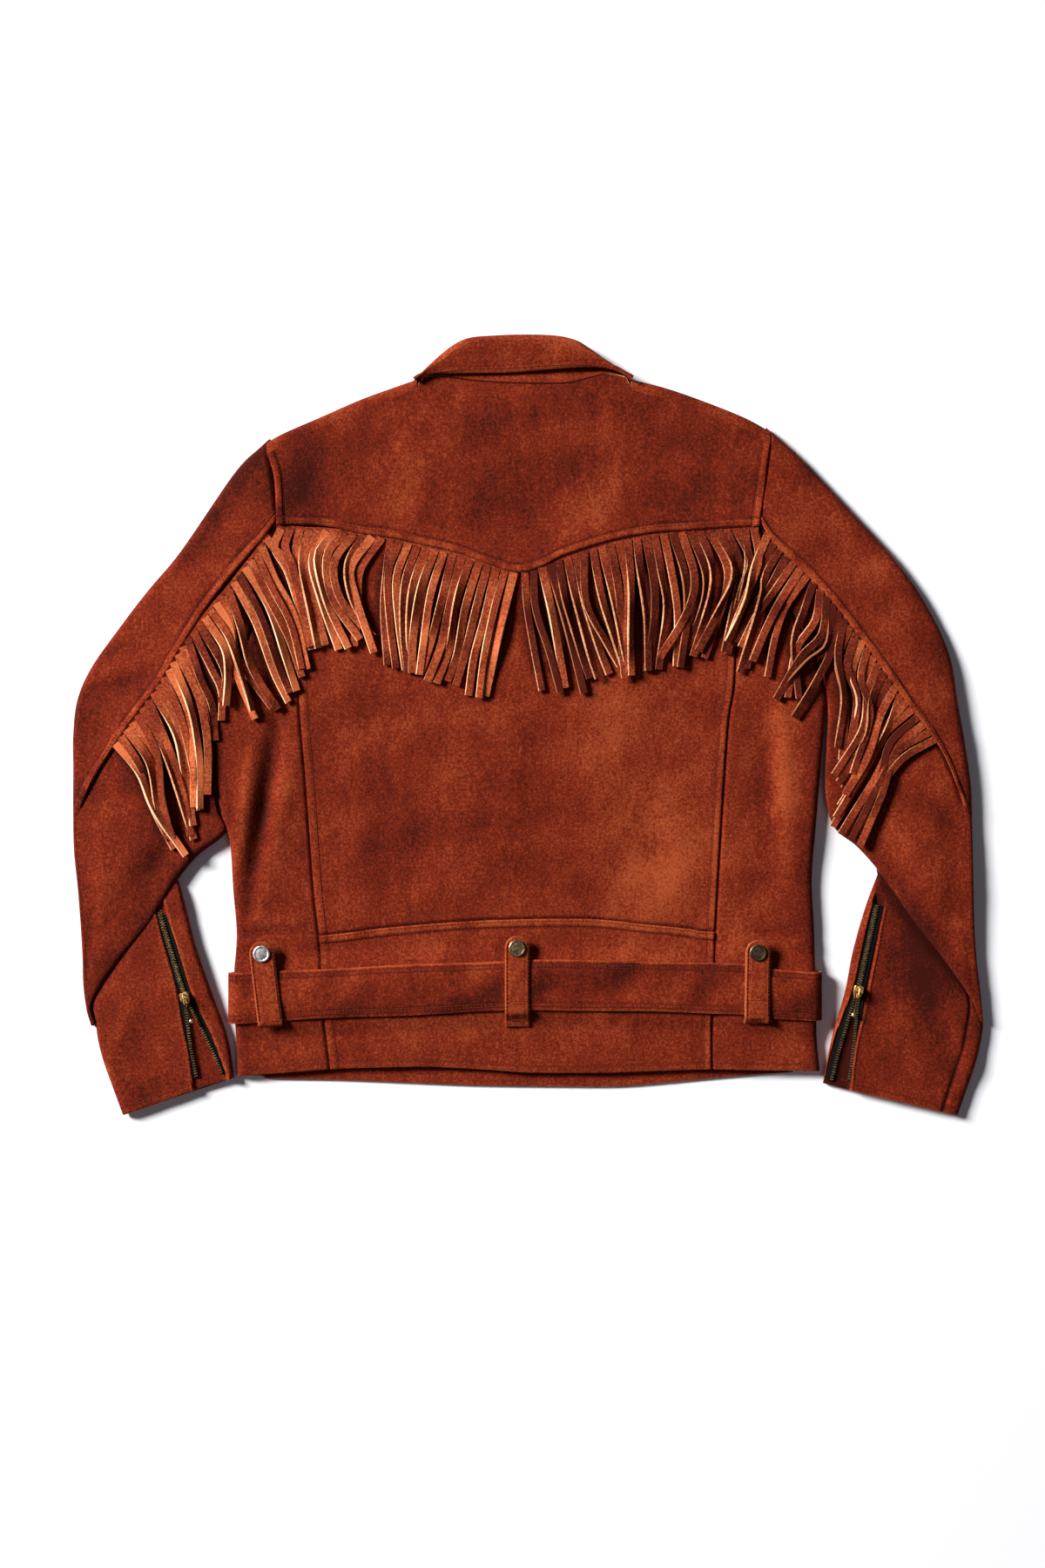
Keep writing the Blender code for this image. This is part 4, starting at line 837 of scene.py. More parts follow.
for name, (sx, sy, lx, ly) in BELT_LOOPS.items():
    stud, end = np.array([sx, sy], float), np.array([lx, ly], float)
    down = unit(end - stud)
    side = np.array([-down[1], down[0]])
    head = stud - down * LOOP_HEAD
    length = float(np.linalg.norm(end - head))
    half = LOOP_WIDTH / 2
    runs = np.append(half * (1 - np.cos(np.linspace(0.12, np.pi / 2, 12))),
                     np.linspace(half, length, 40)[1:])
    right_side = [0.76, 0.85, 0.93, 1]
    across = np.concatenate([-np.array(right_side[::-1]), np.linspace(-0.65, 0.65, 7), right_side])
    wide = np.where(runs < half, np.sqrt(np.maximum(half ** 2 - (half - runs) ** 2, 0)), half)
    xy = (head + down * runs[:, None])[:, None] + side * (wide[:, None] * across)[..., None]
    grid = raised(xy, over_belt)
    edge_off = np.minimum((1 - np.abs(across))[None] * wide[:, None], (length - runs)[:, None])
    grid[..., 2] += LOOP_THICK - 0.8 * bell(edge_off, 0.9) - 0.4 * bell(edge_off - 2.6, 0.7)
    grid[..., 2] -= 0.5 * bell(np.hypot(xy[..., 0] - sx, xy[..., 1] - sy), 9.0)
    wear_and_shade = 0.9 * bell(edge_off, 1.3) + 0.3
    cloth("belt_loop_" + name, grid[::-1], wear_and_shade[::-1], (0.022, 0.084, 0.0017),
          LOOP_THICK - 0.4, upright=True, inside=body_suede)
    seams += [grid[5:-3, 2], grid[5:-3, -3], grid[-4, 2:-2], grid[-14, 2:-2]]
    base = float(over_belt(sx, sy)) + LOOP_THICK - 0.3
    r = SNAP_DIAMETER / 2
    profile = [(r - 0.9, 0), (r - 0.2, 0.2), (r, 0.6), (r, 1.1), (r - 0.3, 1.5), (r - 0.9, 1.75),
               (r - 1.6, 1.7), (r - 2.0, 1.45), (r - 2.5, 1.4), (r - 3.2, 1.5), (r - 5.0, 1.75),
               (0.6, 1.85)]
    points, faces = turned((sx, sy, base), profile)
    piece("snap_" + name, points, faces, [snap_finish[name]], "snap_metal", ["snap_" + name])
    low = float(over_belt(sx, sy)) - 0.5 - BELT_THICK - LAID
    points, faces = turned((sx, sy, low), [(r - 2.6, 0), (r - 2.4, 0.4), (r - 2.4, 1.0),
                                           (r - 3.6, 1.4), (r - 3.6, 2.9)], 24)
    piece("snap_socket_" + name, points, faces, [snap_finish["right"]], "snap_metal",
          ["snap_socket_" + name])

# The sleeves: a top sleeve outside and an under sleeve inside, sewn along the fringe's seam with a
# raised welt. Above the elbow the cloth folds down over the forearm, which comes out below it.

# Upper sleeves, a row for each section from the elbow's fold to the armhole:
# outer fold x, y, fringe seam x, y, inner fold x, y
SLEEVE_LEFT = [
    (-396, -271, -394, -270, -391.5, -268), (-400, -257, -397.5, -256, -395, -254),
    (-403, -234, -399, -234, -385, -235), (-404, -202, -399.5, -202, -366, -209),
    (-407, -155, -402.5, -155, -342, -180), (-411, -116, -406.5, -116, -318, -141),
    (-412, -82, -407, -82, -299, -118), (-412, -40, -391, -47, -273, -96),
    (-412, -8, -372, -17, -280.4, -75), (-408, 24, -352, 11, -288.7, -24),
    (-395, 53, -333, 36, -284, 8), (-371, 87, -312, 71, -270, 42),
    (-345, 121, -292, 103, -255, 76), (-315, 157, -268, 135, -243, 107),
    (-266, 228, -242, 165, -234, 150), (-240, 254, -229, 182, -228, 181),
]
SLEEVE_RIGHT = [
    (412, -268, 410, -267, 407, -265), (410, -245, 406, -245, 398, -244),
    (406, -210, 402, -211, 378, -214), (404, -180, 399.5, -180, 350, -178),
    (403, -140, 398.5, -140, 319, -134), (402, -92, 397, -90, 298, -110),
    (401, -57, 382, -42, 277, -92),
    (396, -20, 366, -12, 269, -60), (389, 20, 345, 15, 270, -18),
    (381, 65, 322, 47, 271, 12), (361, 108, 297, 82, 266, 46),
    (334, 147, 272, 114, 252.5, 78), (298, 187, 248, 140, 232.5, 112),
    (250, 238, 222, 164, 217, 152), (222, 264, 211, 181, 210, 180),
]
SEAM_TURNS = -84.0    # where the fringe seam goes over the sleeve's outer edge, y
# Painted shade over each whole sleeve: the left one, which faces the lamp, is painted darker
SLEEVE_SHADE = {"left": -0.2, "right": 0.0}


def sleeve_low(x, y):
    """The lower layer lies on the board."""
    return 0 * x


def sleeve_top(x, y):
    return (FLAT + swell(x, y, SWELLS) + swell(x, y, CREASES)
            + 0.4 * uneven(x, y, 40, 11) + 0.16 * uneven(x, y, 12, 12))


ROLL_STEPS = 6
ROLL_REACH = 1.6


def rolled_end(grid):
    """Rolls the elbow end of a sleeve down, as cloth that folds over the forearm."""
    way = unit((grid[0] - grid[3])[:, :2]) * np.clip((grid[0, :, 2:] - 3) / 5, 0, 1)
    rows = []
    for k in range(ROLL_STEPS, 0, -1):
        turn = math.radians(120) * k / ROLL_STEPS
        row = grid[0].copy()
        row[:, :2] += way * ROLL_REACH * math.sin(turn)
        row[:, 2] *= 0.5 + 0.5 * math.cos(turn * 0.85)
        rows.append(row)
    return np.concatenate([np.array(rows), grid])


def edge_distance(grid, edge):
    """How far each point lies from a folded edge; the rows past the edge's ends take its ends."""
    extra = len(grid) - len(edge)
    fold = np.vstack([np.repeat(edge[:1], ROLL_STEPS, axis=0), edge,
                      np.repeat(edge[-1:], extra - ROLL_STEPS, axis=0)])
    return np.linalg.norm(grid[..., :2] - fold[:, None], axis=2)


def sleeve(name, table, leftward):
    """The top and the under sleeve of one arm, and the fringe seam between them."""
    rows = at_shares(soft_curve(np.array(table, float)), stops(560.0, False, True, 3.0))
    outer, seam, inner = rows[:, 0:2], rows[:, 2:4], rows[:, 4:6]
    wide = np.linalg.norm(outer - inner, axis=1)
    depth = np.minimum(EDGE_ROUND, wide * 0.3)
    narrow = np.minimum(depth, 0.6 * np.linalg.norm(outer - seam, axis=1))
    beside = np.interp(inner[:, 1], [-112, -88], [EDGE_ROUND, SEAM_ROUND])
    over = np.clip((seam[:, 1] - SEAM_TURNS) / 30, 0, 1)[:, None]
    for panel, fold, across, nose, cut in (
            ("top", outer, 60.0, narrow, (0.130, 0.560, 0.047)),
            ("under", inner, 80.0, np.minimum(depth, beside), (0.180, 0.505, 0.048))):
        on_top = panel == "top"
        side = "right" if leftward == on_top else "left"
        grid = folded(fold, seam, (outer + inner) / 2, stops(across, False), nose, sleeve_top,
                      sleeve_low, leftward == on_top)
        if on_top:
            grid[..., 2] += 1.3 * over * bell(off_side(grid, side), 9)
        grid = rolled_end(grid)
        if on_top:
            grid = tucked_under(grid, 4)
        fade = np.clip((grid[:, -1 if side == "right" else 0, 1] - SEAM_TURNS) / 12, 0, 1)
        grid, wear_and_shade = sewn(grid, {side: "welt" if on_top else "tucked", "high": "tucked"}, fade)
        # painted shade: darker towards the folded edge
        wear_and_shade -= 0.4 * bell(edge_distance(grid, fold), EDGE_SHADE_REACH)
        cloth(panel + "_sleeve_" + name, grid, wear_and_shade + SLEEVE_SHADE[name], cut,
              inside=body_suede)
        if on_top:
            stitch_line(grid[fade > 0.5], side, STITCHED)


sleeve("left", SLEEVE_LEFT, True)
sleeve("right", SLEEVE_RIGHT, False)

# The forearms: the top sleeve runs on round both folds to the zip and the under sleeve lies on top
# beside it. Their edges are turned back from the zip's tape, and the cuff is a stitched hem.

# Forearms, a row for each section from the cuff to the elbow's fold:
# outer fold x, y, zip x, y, inner fold x, y
FOREARM_LEFT = [
    (-367, -353, -287, -325, -266, -319), (-377, -326, -295, -292, -272, -283),
    (-385, -303, -305, -262, -285, -246), (-390, -283, -318, -216, -301, -200),
    (-392, -267, -326, -190, -309, -168), (-395, -255, -333, -166, -316, -143),
    (-398, -246, -341, -150, -322, -129),
]
FOREARM_RIGHT = [
    (389, -353, 279, -327, 267, -324), (399, -325, 286, -288, 275, -283),
    (407, -300, 299, -246, 287, -241), (411, -281, 307, -210, 294, -205),
    (412, -271, 315, -173, 305, -166), (410, -258, 321, -147, 315, -139),
    (408, -247, 327, -134, 319, -128),
]
FOREARM_SEAM = 0.13   # the seam beside the outer fold, as a share of the way to the zip
FOREARM_LONG = 135.0
CUFF_ROUND = 4.5
ZIP_OPEN = {"left": 16.0, "right": 12.0}   # half the opening's width at the cuff
ZIP_TOP = {"left": 2.0, "right": 0.875}   # where the opening ends, as a share of the zip's line
CHANNEL = 5.9         # half the opening's width above the slider
CHANNEL_DEEP = 2.6
FOREARM_SHADE = {"left": -0.1, "right": -0.25}   # painted shade over each whole forearm, most on the right one, which lies in shade
OPENING_SHADE = {"left": 0.2, "right": 1.8}   # how much darker the sunk opening beside the zip is painted, as shade in the hollow


def forearm(name, table, leftward):
    """Both panels of a forearm, with the opening for the zip let into them."""
    f = at_shares(soft_curve(np.array(table, float)), stops(FOREARM_LONG, True, False, 2.2))
    outer, zipped, inner = f[:, 0:2], f[:, 2:4], f[:, 4:6]
    share = along(zipped) / along(zipped)[-1]
    opening = np.interp(share, [0, 0.5, 0.58], [ZIP_OPEN[name], CHANNEL, CHANNEL])
    opened = up_to(share, ZIP_TOP[name], 1 / 170)[:, None]
    tuck = bell((1 - share) * FOREARM_LONG, 11)[:, None]
    seam = outer * (1 - FOREARM_SEAM) + zipped * FOREARM_SEAM

    def shaped(grid, sides):
        off = np.linalg.norm(grid[..., :2] - zipped[:, None], axis=2) - opening[:, None]
        facing_up = np.clip((grid[..., 2] - 4) / 3, 0, 1)
        rim, inside = bell(off - 1.5, 1.6) * opened, up_to(off, 0, 0.35) * opened
        grid, wear_and_shade = sewn(grid, sides)
        grid[..., 2] += facing_up * (0.5 * rim - CHANNEL_DEEP * inside)
        grid[..., 2] *= 1 - 0.62 * tuck * facing_up
        # a paler rim round the opening, painted shade in the sunk opening and under the elbow's
        # fold, and painted shade over the whole forearm
        return grid, wear_and_shade + 0.8 * rim - OPENING_SHADE[name] * inside - 1.5 * tuck + FOREARM_SHADE[name]

    shares = stops(95.0, False, True, 2.0, 0.8, 20.0)
    panel = raised(spread(seam, zipped, shares), sleeve_top)
    panel = panel if leftward else panel[:, ::-1]
    seam_kind = "plain" if leftward else "tucked"
    panel, wear_and_shade = shaped(panel, {"left" if leftward else "right": seam_kind, "low": "hem"})
    cloth("under_forearm_" + name, panel, wear_and_shade, (0.105, 0.185, 0.014))
    stitch_line(panel, "low", 6.5)
    far = np.linalg.norm(panel[..., :2] - zipped[:, None], axis=2)
    seams.append(np.array([row[np.argmin(np.abs(d - o - 2.4))] for row, d, o, k
                           in zip(panel, far, opening, opened) if k > 0.5]))
    nose_out, start_out = rounded(outer, zipped, EDGE_ROUND, sleeve_top, sleeve_low)
    nose_in, start_in = rounded(inner, seam, CUFF_ROUND, sleeve_top, sleeve_low)
    floor = raised(spread(start_in, start_out, np.linspace(0, 1, 16)), sleeve_low)
    parts = [raised(spread(zipped, start_in, np.linspace(0, 1, 12)), sleeve_top), nose_in, floor,
             nose_out[:, ::-1], raised(spread(start_out, seam, np.linspace(0, 1, 5)), sleeve_top)]
    grid = np.concatenate(parts, axis=1)
    grid = grid if leftward else grid[:, ::-1]
    grid, wear_and_shade = shaped(grid, {"right" if leftward else "left": seam_kind, "low": "hem"})
    cloth("top_forearm_" + name, grid, wear_and_shade, (0.185, 0.200, 0.025))


forearm("left", FOREARM_LEFT, True)
forearm("right", FOREARM_RIGHT, False)

# The fringe: strips of the same suede cut almost through into strands, sewn into the yoke's and the
# sleeves' seams. The strands lie as they fell, twisted so that their pale cut edges catch the light.

STRAND_THICK = 1.9
STRAND_STEPS = 16
EASED = 0.7           # how far the knife's slanting cut comes in
LEAN = 0.3            # how much most strands are rolled over, their left edge up, in radians
STRAYS = 0.16         # share of the strands that cross their neighbours
STRAY_FAR = 12.0
# Painted light on each side's strands: the left ones painted paler, where the lamp falls on them,
# the right ones painted darker
STRAND_LIGHT = {"left": 0.55, "right": -0.15}
# Corners of a strand across: sideways (1 is its full width, 0 the eased corner) and up
STRAND_SECTION = [(-0.9, 1), (0.001, 1), (1, 0.0), (0.8, -1), (-0.8, -1), (-1, 0.2)]

# For some strands in order: x, y of the root, two points on the way and the tip
YOKE_FRINGE_LEFT = [
    (-227, 177, -231, 161, -221, 137, -213, 112), (-214, 177, -217, 161, -211, 139, -197, 70),
    (-201, 176, -206, 150, -202, 118, -192, 68), (-189, 176, -199, 150, -193, 121, -179, 71),
    (-178, 175, -193, 150, -183, 110, -165, 65), (-168, 174, -185, 156, -180, 118, -157, 76),
    (-160, 173, -178, 148, -173, 112, -138, 68), (-150, 172, -166, 145, -164, 115, -151, 92),
    (-140, 170, -157, 142, -154, 115, -138, 63), (-131, 169, -145, 139, -149, 110, -157, 70),
    (-124, 168, -130, 142, -130, 105, -124, 54), (-112, 165, -121, 134, -120, 94, -115, 52),
    (-93, 160, -104, 124, -108, 86, -105, 47), (-74, 156, -84, 118, -92, 78, -99, 44),
    (-56, 150, -64, 110, -71, 70, -84, 39), (-40, 145, -51, 102, -59, 62, -68, 35),
    (-27, 141, -35, 102, -47, 62, -51, 28), (-9, 137, -18, 102, -27, 62, -37, 23),
]
YOKE_FRINGE_RIGHT = [
    (-7, 137, -4, 105, 3, 66, 11, 26), (8, 141, 12, 105, 20, 66, 27, 30),
    (21, 146, 27, 105, 40, 62, 48, 33), (37, 152, 46, 113, 57, 69, 66, 42),
    (54, 158, 61, 113, 73, 77, 82, 55), (73, 163, 81, 120, 91, 77, 98, 46),
    (93, 168, 97, 126, 102, 87, 107, 47), (112, 171, 120, 136, 122, 105, 112, 52),
    (127, 173, 137, 136, 140, 97, 140, 56), (141, 174, 157, 132, 153, 101, 128, 58),
    (155, 175, 167, 140, 161, 97, 151, 60), (170, 176, 183, 140, 179, 101, 167, 68),
    (186, 177, 198, 148, 190, 120, 180, 62), (208, 179, 203, 150, 194, 116, 183, 89),
]
SLEEVE_FRINGE_LEFT = [
    (-234, 172, -222, 148, -208, 115, -203, 73), (-245, 155, -230, 122, -213, 91, -201, 47),
    (-257, 140, -237, 104, -222, 60, -211, 30), (-266, 128, -248, 91, -230, 47, -215, 20),
    (-275, 117, -266, 91, -257, 60, -224, 18), (-283, 108, -268, 87, -266, 47, -254, 0),
    (-294, 94, -278, 64, -271, 47, -275, 25), (-308, 76, -292, 40, -286, 16, -285, -17),
    (-318, 60, -301, 20, -294, -26, -296, -73), (-332, 38, -315, 5, -309, -33, -302, -77),
    (-343, 22, -325, -17, -312, -57, -303, -101), (-355, 5, -337, -28, -328, -66, -314, -99),
    (-364, -6, -345, -35, -334, -73, -322, -106), (-375, -20, -354, -46, -341, -79, -310, -121),
]
SLEEVE_FRINGE_RIGHT = [
    (213, 174, 205, 141, 200, 108, 187, 77), (225, 160, 213, 139, 216, 119, 196, 38),
    (236, 149, 218, 117, 200, 104, 184, 81), (249, 137, 231, 108, 220, 82, 205, 45),
    (259, 127, 255, 104, 244, 73, 251, 20), (268, 118, 260, 86, 242, 64, 222, 25),
    (278, 106, 271, 69, 258, 51, 233, 20), (288, 93, 277, 60, 284, 16, 282, -33),
    (297, 82, 288, 51, 295, 25, 286, -28), (309, 65, 302, 38, 308, 5, 288, -46),
    (323, 45, 312, 20, 310, -17, 286, -59), (334, 30, 322, 2, 306, -33, 284, -70),
    (346, 14, 323, -9, 306, -39, 276, -90), (357, -1, 329, -24, 312, -53, 285, -97),
    (370, -16, 339, -33, 315, -64, 294, -107),
]
CORNERS = len(STRAND_SECTION)
ROOT_STEPS = 90
# Section of the backing strip: out from the seam and up
STRIP_SECTION = ((-3.0, 1.0), (0.2, 1.0), (0.6, 0.8), (0.6, 0.2), (-3.0, 0.2))


def gathered(parts):
    """Several solids as one set of points and faces."""
    points, faces, first = [], [], 0
    for p, f in parts:
        points.append(p)
        faces += [[first + i for i in face] for face in f]
        first += len(p)
    return np.vstack(points), faces


def ground(x, y):
    """The cloth under the fringe: the back between its sides, a sleeve outside them."""
    inside = np.minimum(x - side_left(y), side_right(y) - x)
    share = 1 / (1 + np.exp(-inside / 3.0))
    gap = bell(inside, 5.0) * np.clip((150 - y) / 60, 0, 1)
    return body_top(x, y) * share + sleeve_top(x, y) * (1 - share) - 1.2 * gap


covered = []          # where strands lie over the cloth


def fringe(name, table, count, wide, seed, twist):
    """Strands along a seam, each a twisted strip between the ones named in the table."""
    rng = np.random.default_rng(seed)
    keys = np.array(table, float)
    run = along(keys[:, :2])
    where = (np.arange(count) + 0.5) / count * run[-1]
    rows = np.stack([np.interp(where, run, keys[:, k]) for k in range(8)], axis=1)
    strands, wear_and_shade = [], []
    layer = rng.permutation(count) % 3
    t = np.linspace(0, 1, STRAND_STEPS)
    for k, row in enumerate(rows):
        way = unit(row[6:8] - row[0:2])
        side = np.array([-way[1], way[0]])
        bow, slip, cut = rng.normal(0, 2.4), rng.normal(0, 2.6), rng.normal(0, 2.5)
        if rng.random() < STRAYS:
            slip += STRAY_FAR * rng.choice([-1, 1])
            layer[k] = 3
        path = [row[0:2], row[2:4] + side * bow, row[4:6] + side * (bow * 0.4 + slip * 0.6),
                row[6:8] + side * slip + way * cut]
        line = at_shares(soft_curve(path, 8), t)
        heading = unit(np.gradient(line, axis=0))
        flank = np.column_stack([heading[:, 1], -heading[:, 0]])
        roll = (LEAN + rng.normal(0, twist)) * np.sin(t * math.pi * rng.uniform(0.7, 1.3)) ** 2
        roll += 0.12 * np.sin(2.2 * math.pi * t + 6.28 * rng.random()) * t
        half = wide * (0.5 - 0.04 * t) * rng.uniform(0.9, 1.05)
        eased = EASED * (0.2 if rng.random() < 0.4 else 1.0) * np.clip(3.5 * t - 0.3, 0, 1)
        x, y = line.T
        lift = 0.1 + ((1.4 + 1.5 * layer[k]) * np.sin(np.clip(t * 1.4, 0, 1) * math.pi / 2)
                      * (1 - 0.35 * t))
        z = ground(x, y) + lift + STRAND_THICK / 2 + half * np.abs(np.sin(roll))
        ring = []
        for a, b in STRAND_SECTION:
            out, high = half * np.sign(a) - eased * (np.sign(a) - a), STRAND_THICK / 2 * b
            sideways = out * np.cos(roll) - high * np.sin(roll)
            up = out * np.sin(roll) + high * np.cos(roll)
            ring.append(np.column_stack([line + flank * sideways[:, None], z + up]))
        ring = np.stack(ring, axis=1)
        covered.append(ring[:-3, :, :2].mean(axis=1))
        strands.append(solid(ring))
        # each strand's tone: random, around its side's painted light
        shade = rng.normal(STRAND_LIGHT[name.split("_")[-1]], 0.45)
        wear_and_shade.append(np.repeat(shade + 0.4 * uneven(x, y, 20, 7), CORNERS))
    root = at_shares(keys[:, :2], np.linspace(0, 1, ROOT_STEPS))
    way = unit(np.gradient(root, axis=0))
    hang = np.column_stack([way[:, 1], -way[:, 0]])
    hang *= np.sign(hang @ (rows[count // 2, 6:8] - rows[count // 2, 0:2]))[:, None]
    strip = np.stack([np.column_stack([root + hang * off, ground(*(root + hang * off).T) + up])
                      for off, up in STRIP_SECTION], axis=1)
    points, faces = gathered(strands + [solid(strip)])
    kinds = ([0, 1, 1, 0, 1, 1] * (STRAND_STEPS - 1) + [1, 1]) * count
    kinds += [0] * (len(faces) - len(kinds))
    wear_and_shade.append(np.full(strip[..., 0].size, 0.2))
    piece(name, points, faces, [strand_suede, raw_edge], "fringe", [name],
          wear_and_shade=np.concatenate(wear_and_shade), kinds=kinds, sharp=30)


fringe("yoke_fringe_left", YOKE_FRINGE_LEFT, 27, 7.4, 21, 0.35)
fringe("yoke_fringe_right", YOKE_FRINGE_RIGHT, 27, 7.3, 22, 0.35)
fringe("sleeve_fringe_left", SLEEVE_FRINGE_LEFT, 29, 7.2, 23, 0.4)
fringe("sleeve_fringe_right", SLEEVE_FRINGE_RIGHT, 29, 7.2, 24, 0.4)

# Painted shadow: the cloth under the fringe's strands is painted much darker, as the deep shade
# between them.
FRINGE_SHADOW = 1.8
FRINGE_SHADOW_REACH = 6.0   # mm past a strand
UPPER_LAYER = 5.0     # cloth this high or higher lies under the strands
strand_tree = kdtree.KDTree(sum(map(len, covered)))
for number, (x, y) in enumerate(np.vstack(covered)):
    strand_tree.insert((x, y, 0), number)
strand_tree.balance()
for name in ("back_centre", "side_back_left", "side_back_right", "under_sleeve_left",
             "under_sleeve_right"):
    mesh = panels[name].data
    for vertex, value in zip(mesh.vertices, mesh.attributes["wear_and_shade"].data):
        x, y, z = vertex.co / MM
        near = strand_tree.find((x, y, 0))[2]
        # painted shadow, darkest close to a strand, only on cloth high enough to lie under the
        # strands
        value.value -= FRINGE_SHADOW * math.exp(-(near / FRINGE_SHADOW_REACH) ** 2) * min(z / UPPER_LAYER, 1)

# The cuff zips: black woven tape with cast brass teeth, a brass slider, and a thin pull with a ball
# at its end that swings on the slider's bridge.

# x and y of the top stop, the slider and both rows' ends at the cuff
CUFF_ZIPS = {
    "left": ((-335, -165), (-310, -247), (-299, -318), (-277, -316)),
    "right": ((315, -162), (298, -241), (275, -322), (289, -322)),
}
TAPE_WIDTH = 6.0
TOOTH_PITCH = 2.3
TAPE_SUNK = 1.5       # tape below the forearm's top, in the opening
BALL_RADIUS = 2.2
BALL_AT = 21.0        # its middle, from the hinge
PULL_TILT = 6.0       # degrees down towards the cuff at rest
UNDER_FOLD = {"left": 4.0, "right": 0.0}   # how far its top end dips, beneath the elbow's fold

tape_cotton = woven("black_woven_tape", 320.0, 0.6, "#080706", "#1A1714", 0.95, 0.1)
tooth_brass = metal("antiqued_brass_teeth", "#6A5636", "#CFB27E", 0.42, 3.0)
slider_brass = metal("worn_brass_slider", "#C08C3A", "#FFDD94", 0.45, 5.0)
pull_bronze = metal("dark_bronze_pull", "#3A2C1A", "#7D6238", 0.36, 2.0)
ball_brass = metal("bright_brass_ball", "#D9BE80", "#FFF0C4", 0.3, 2.0)


def box(corner_low, corner_high, taper=1.0):
    """A small block, narrowed at its far end."""
    (x0, y0, z0), (x1, y1, z1) = corner_low, corner_high
    return solid([[(x0, y0, z), (x1, y0 * taper, z), (x1, y1 * taper, z), (x0, y1, z)]
                  for z in (z0, z1)])


def tape(name, path, hand, dip):
    """Half a zip: its tape and a row of teeth along its inner edge."""
    way = unit(np.gradient(path, axis=0))
    side = np.column_stack([way[:, 1], -way[:, 0]]) * hand
    run = along(path)
    z = sleeve_top(path[:, 0], path[:, 1]) - TAPE_SUNK - dip * bell(run, 9)
    section = [(0.3, 0.0), (0.3, 0.9), (2.2, 0.9), (2.6, 0.6), (TAPE_WIDTH, 0.6), (TAPE_WIDTH, 0.0)]
    band = solid(np.stack([np.column_stack([path + side * out, z + up]) for out, up in section],
                          axis=1))
    block, block_faces = box((2.1, -0.5, 0), (-0.6, 0.5, 1.25), 0.72)
    parts = [band]
    for at in np.arange(1.0, run[-1] - 1.0, TOOTH_PITCH):
        where = at + (TOOTH_PITCH / 2 if hand > 0 else 0)
        x, y, sx, sy, high = (np.interp(where, run, v) for v in (*path.T, *side.T, z))
        s = unit(np.array([sx, sy]))
        flat = np.array([x, y]) + block[:, :1] * s + block[:, 1:2] * [-s[1], s[0]]
        parts.append((np.column_stack([flat, high + 0.7 + block[:, 2]]), block_faces))
    points, faces = gathered(parts)
    kinds = np.repeat([0, 1], [len(band[1]), len(faces) - len(band[1])])
    piece(name, points, faces, [tape_cotton, tooth_brass], "zip_tape", [name], kinds=kinds,
          sharp=30)


def swept(path, radius, sides=10):
    """A round bar along a path."""
    path = np.array(path, float)
    way = unit(np.gradient(path, axis=0))
    flank = unit(np.cross(way, [0.123, 0.456, 0.881]))   # any way that no path takes
    rise_way = np.cross(way, flank)
    radius = np.broadcast_to(radius, len(path))[:, None]
    turns = 2 * math.pi * np.arange(sides) / sides
    return solid(np.stack([path + (flank * math.cos(turn) + rise_way * math.sin(turn)) * radius
                           for turn in turns], axis=1))


def prism(outline, low, high, bevel=0.35):
    """A flat plate with eased edges."""
    o = np.array(outline, float)
    inner = o * (1 - bevel / np.abs(o).max())
    return solid([np.column_stack([xy, np.full(len(o), z)]) for xy, z in (
        (inner, low), (o, low + bevel), (o, high - bevel), (inner, high))])


def placed(points, pivot, way, tilt=0.0):
    """Points (along, sideways, up) about the pivot, with along towards the cuff."""
    forward = np.array([way[0] * math.cos(tilt), way[1] * math.cos(tilt), -math.sin(tilt)])
    side = np.array([way[1], -way[0], 0.0])
    up = np.cross(forward, -side)
    up = up if up[2] > 0 else -up
    p = np.asarray(points, float)
    return pivot + p[:, :1] * forward + p[:, 1:2] * side + p[:, 2:] * up


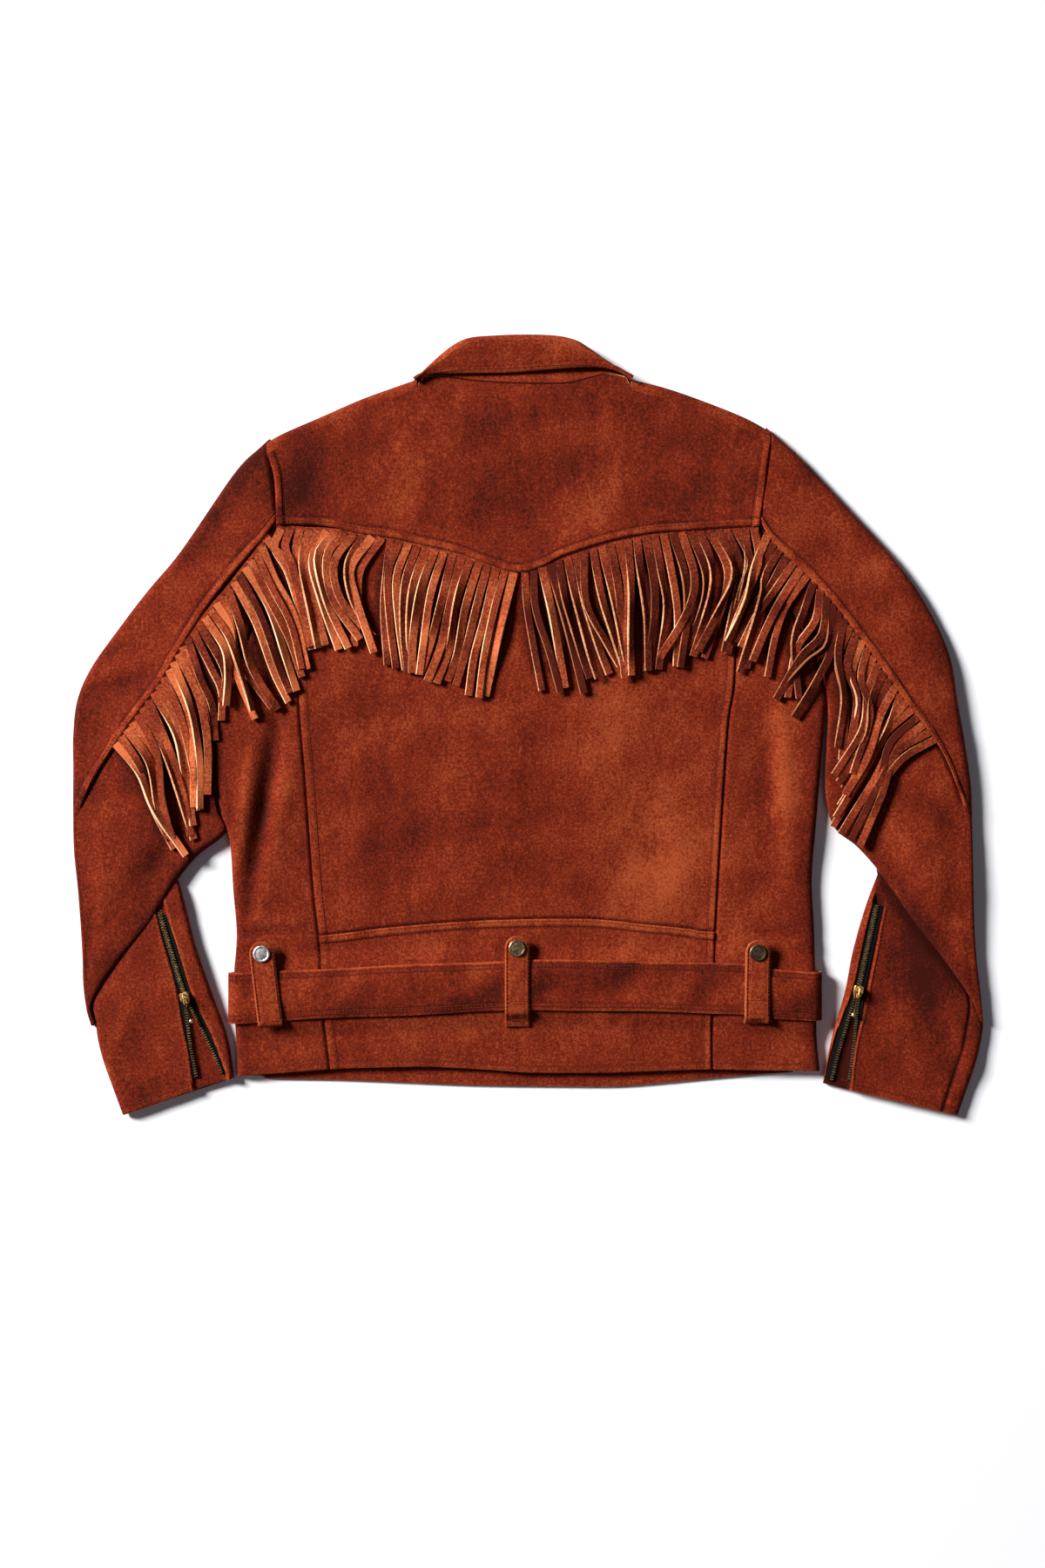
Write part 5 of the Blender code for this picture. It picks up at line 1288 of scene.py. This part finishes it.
for zip_name, (stop, middle, *zip_ends) in CUFF_ZIPS.items():
    closed = at_shares(np.array([stop, middle], float), np.linspace(0, 1, 24))
    for half, zip_end, hand in (("left", zip_ends[0], 1), ("right", zip_ends[1], -1)):
        bulge = np.array(middle) * 0.35 + np.array(zip_end) * 0.65 - [hand, 0]
        tail = at_shares(soft_curve([middle, bulge, zip_end]), np.linspace(0, 1, 26))[1:]
        tape("zip_%s_tape_%s" % (zip_name, half), np.vstack([closed, tail]), hand,
             UNDER_FOLD[zip_name])
    joint = next(j for j in frame["record"]["behaviour"]["joints"]
                 if j["child"] == "pull_" + zip_name)
    pivot = np.array(joint["pos_m"]) / MM
    zip_way = unit(np.array(middle, float) - np.array(stop, float))
    half_plate = [(-5.5, -3.6), (-4.2, -4.1), (-1.0, -4.2), (3.6, -3.2), (5.3, -2.4), (5.5, -1.6)]
    plate = half_plate + [(x, -y) for x, y in half_plate[::-1]]
    half_bridge = [(-4.6, 0, -1.8), (-4.4, 0, 0.4), (-3.4, 0, 1.6), (-1.6, 0, 2.1)]
    bridge = half_bridge + [(-x, y, z) for x, y, z in half_bridge[::-1]]
    solids = [prism(plate, -3.4, -1.8), prism(plate, -6.2, -5.0),
              box((-5.0, -1.0, -5.4), (-2.0, 1.0, -3.0)),
              swept(at_shares(np.array(bridge), np.linspace(0, 1, 22)), 0.8)]
    points, faces = gathered(solids)
    piece("zip_%s_slider" % zip_name, placed(points, pivot, zip_way), faces, [slider_brass],
          "brass", ["zip_%s_slider" % zip_name], sharp=35)
    tilt = math.radians(PULL_TILT)
    eye = [(0, -2.3, 0), (0, 2.3, 0), (1.6, 2.6, 0), (4.5, 2.2, 0), (6.6, 0.7, 0), (6.6, -0.7, 0),
           (4.5, -2.2, 0), (1.6, -2.6, 0), (0, -2.3, 0)]
    rod = [(6.4, 0, 0), (8, 0, 0), (12, 0, 0), (18, 0, 0), (19.6, 0, 0)]
    turns = np.linspace(0.12, math.pi - 0.12, 16)
    ball_path = np.column_stack([BALL_AT - BALL_RADIUS * np.cos(turns), 0 * turns, 0 * turns])
    bars = [swept(at_shares(np.array(eye, float), np.linspace(0, 1, 40)), 0.6),
            swept(rod, [1.3, 1.0, 0.85, 0.85, 1.1])]
    ball = swept(ball_path, BALL_RADIUS * np.sin(turns), 24)
    points, faces = gathered(bars + [ball])
    kinds = np.repeat([0, 1], [len(faces) - len(ball[1]), len(ball[1])])
    piece("zip_%s_pull" % zip_name, placed(points, pivot, zip_way, tilt), faces,
          [pull_bronze, ball_brass], "brass", ["zip_%s_pull" % zip_name],
          body="pull_" + zip_name, kinds=kinds, sharp=35)

# The stitching: polyester thread in the suede's own colour, about eight stitches to the inch.

STITCH_PITCH = 3.3
STITCH_LONG = 2.5
STITCH_WIDE = 0.75

thread = material("rust_polyester_thread", {"Base Color": linear("#6B2813"), "Roughness": 0.8,
                                            "Specular IOR Level": 0.1})[0]
stitches = []
for line in seams:
    run = along(line)
    for at in np.arange(STITCH_PITCH, run[-1] - STITCH_PITCH / 2, STITCH_PITCH):
        p, q = at_shares(line, [at / run[-1], (at + STITCH_LONG) / run[-1]])
        if min(p[2], q[2]) < 1:
            continue      # turned under, on the board
        side = unit(np.cross(unit(q - p), [0, 0, 1.0])) * STITCH_WIDE / 2
        stitches.append(solid([
            [end - side + [0, 0, high - 0.1], end + [0, 0, high + 0.25],
             end + side + [0, 0, high - 0.1], end + [0, 0, high - 0.5]]
            for end, high in ((p, 0.0), ((p + q) / 2, 0.35), (q, 0.0))]))
piece("stitching", *gathered(stitches), [thread], "suede")

size = {"cad": [list(corner) for corner in cad_box],
        "visual": [list(corner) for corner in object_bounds()]}
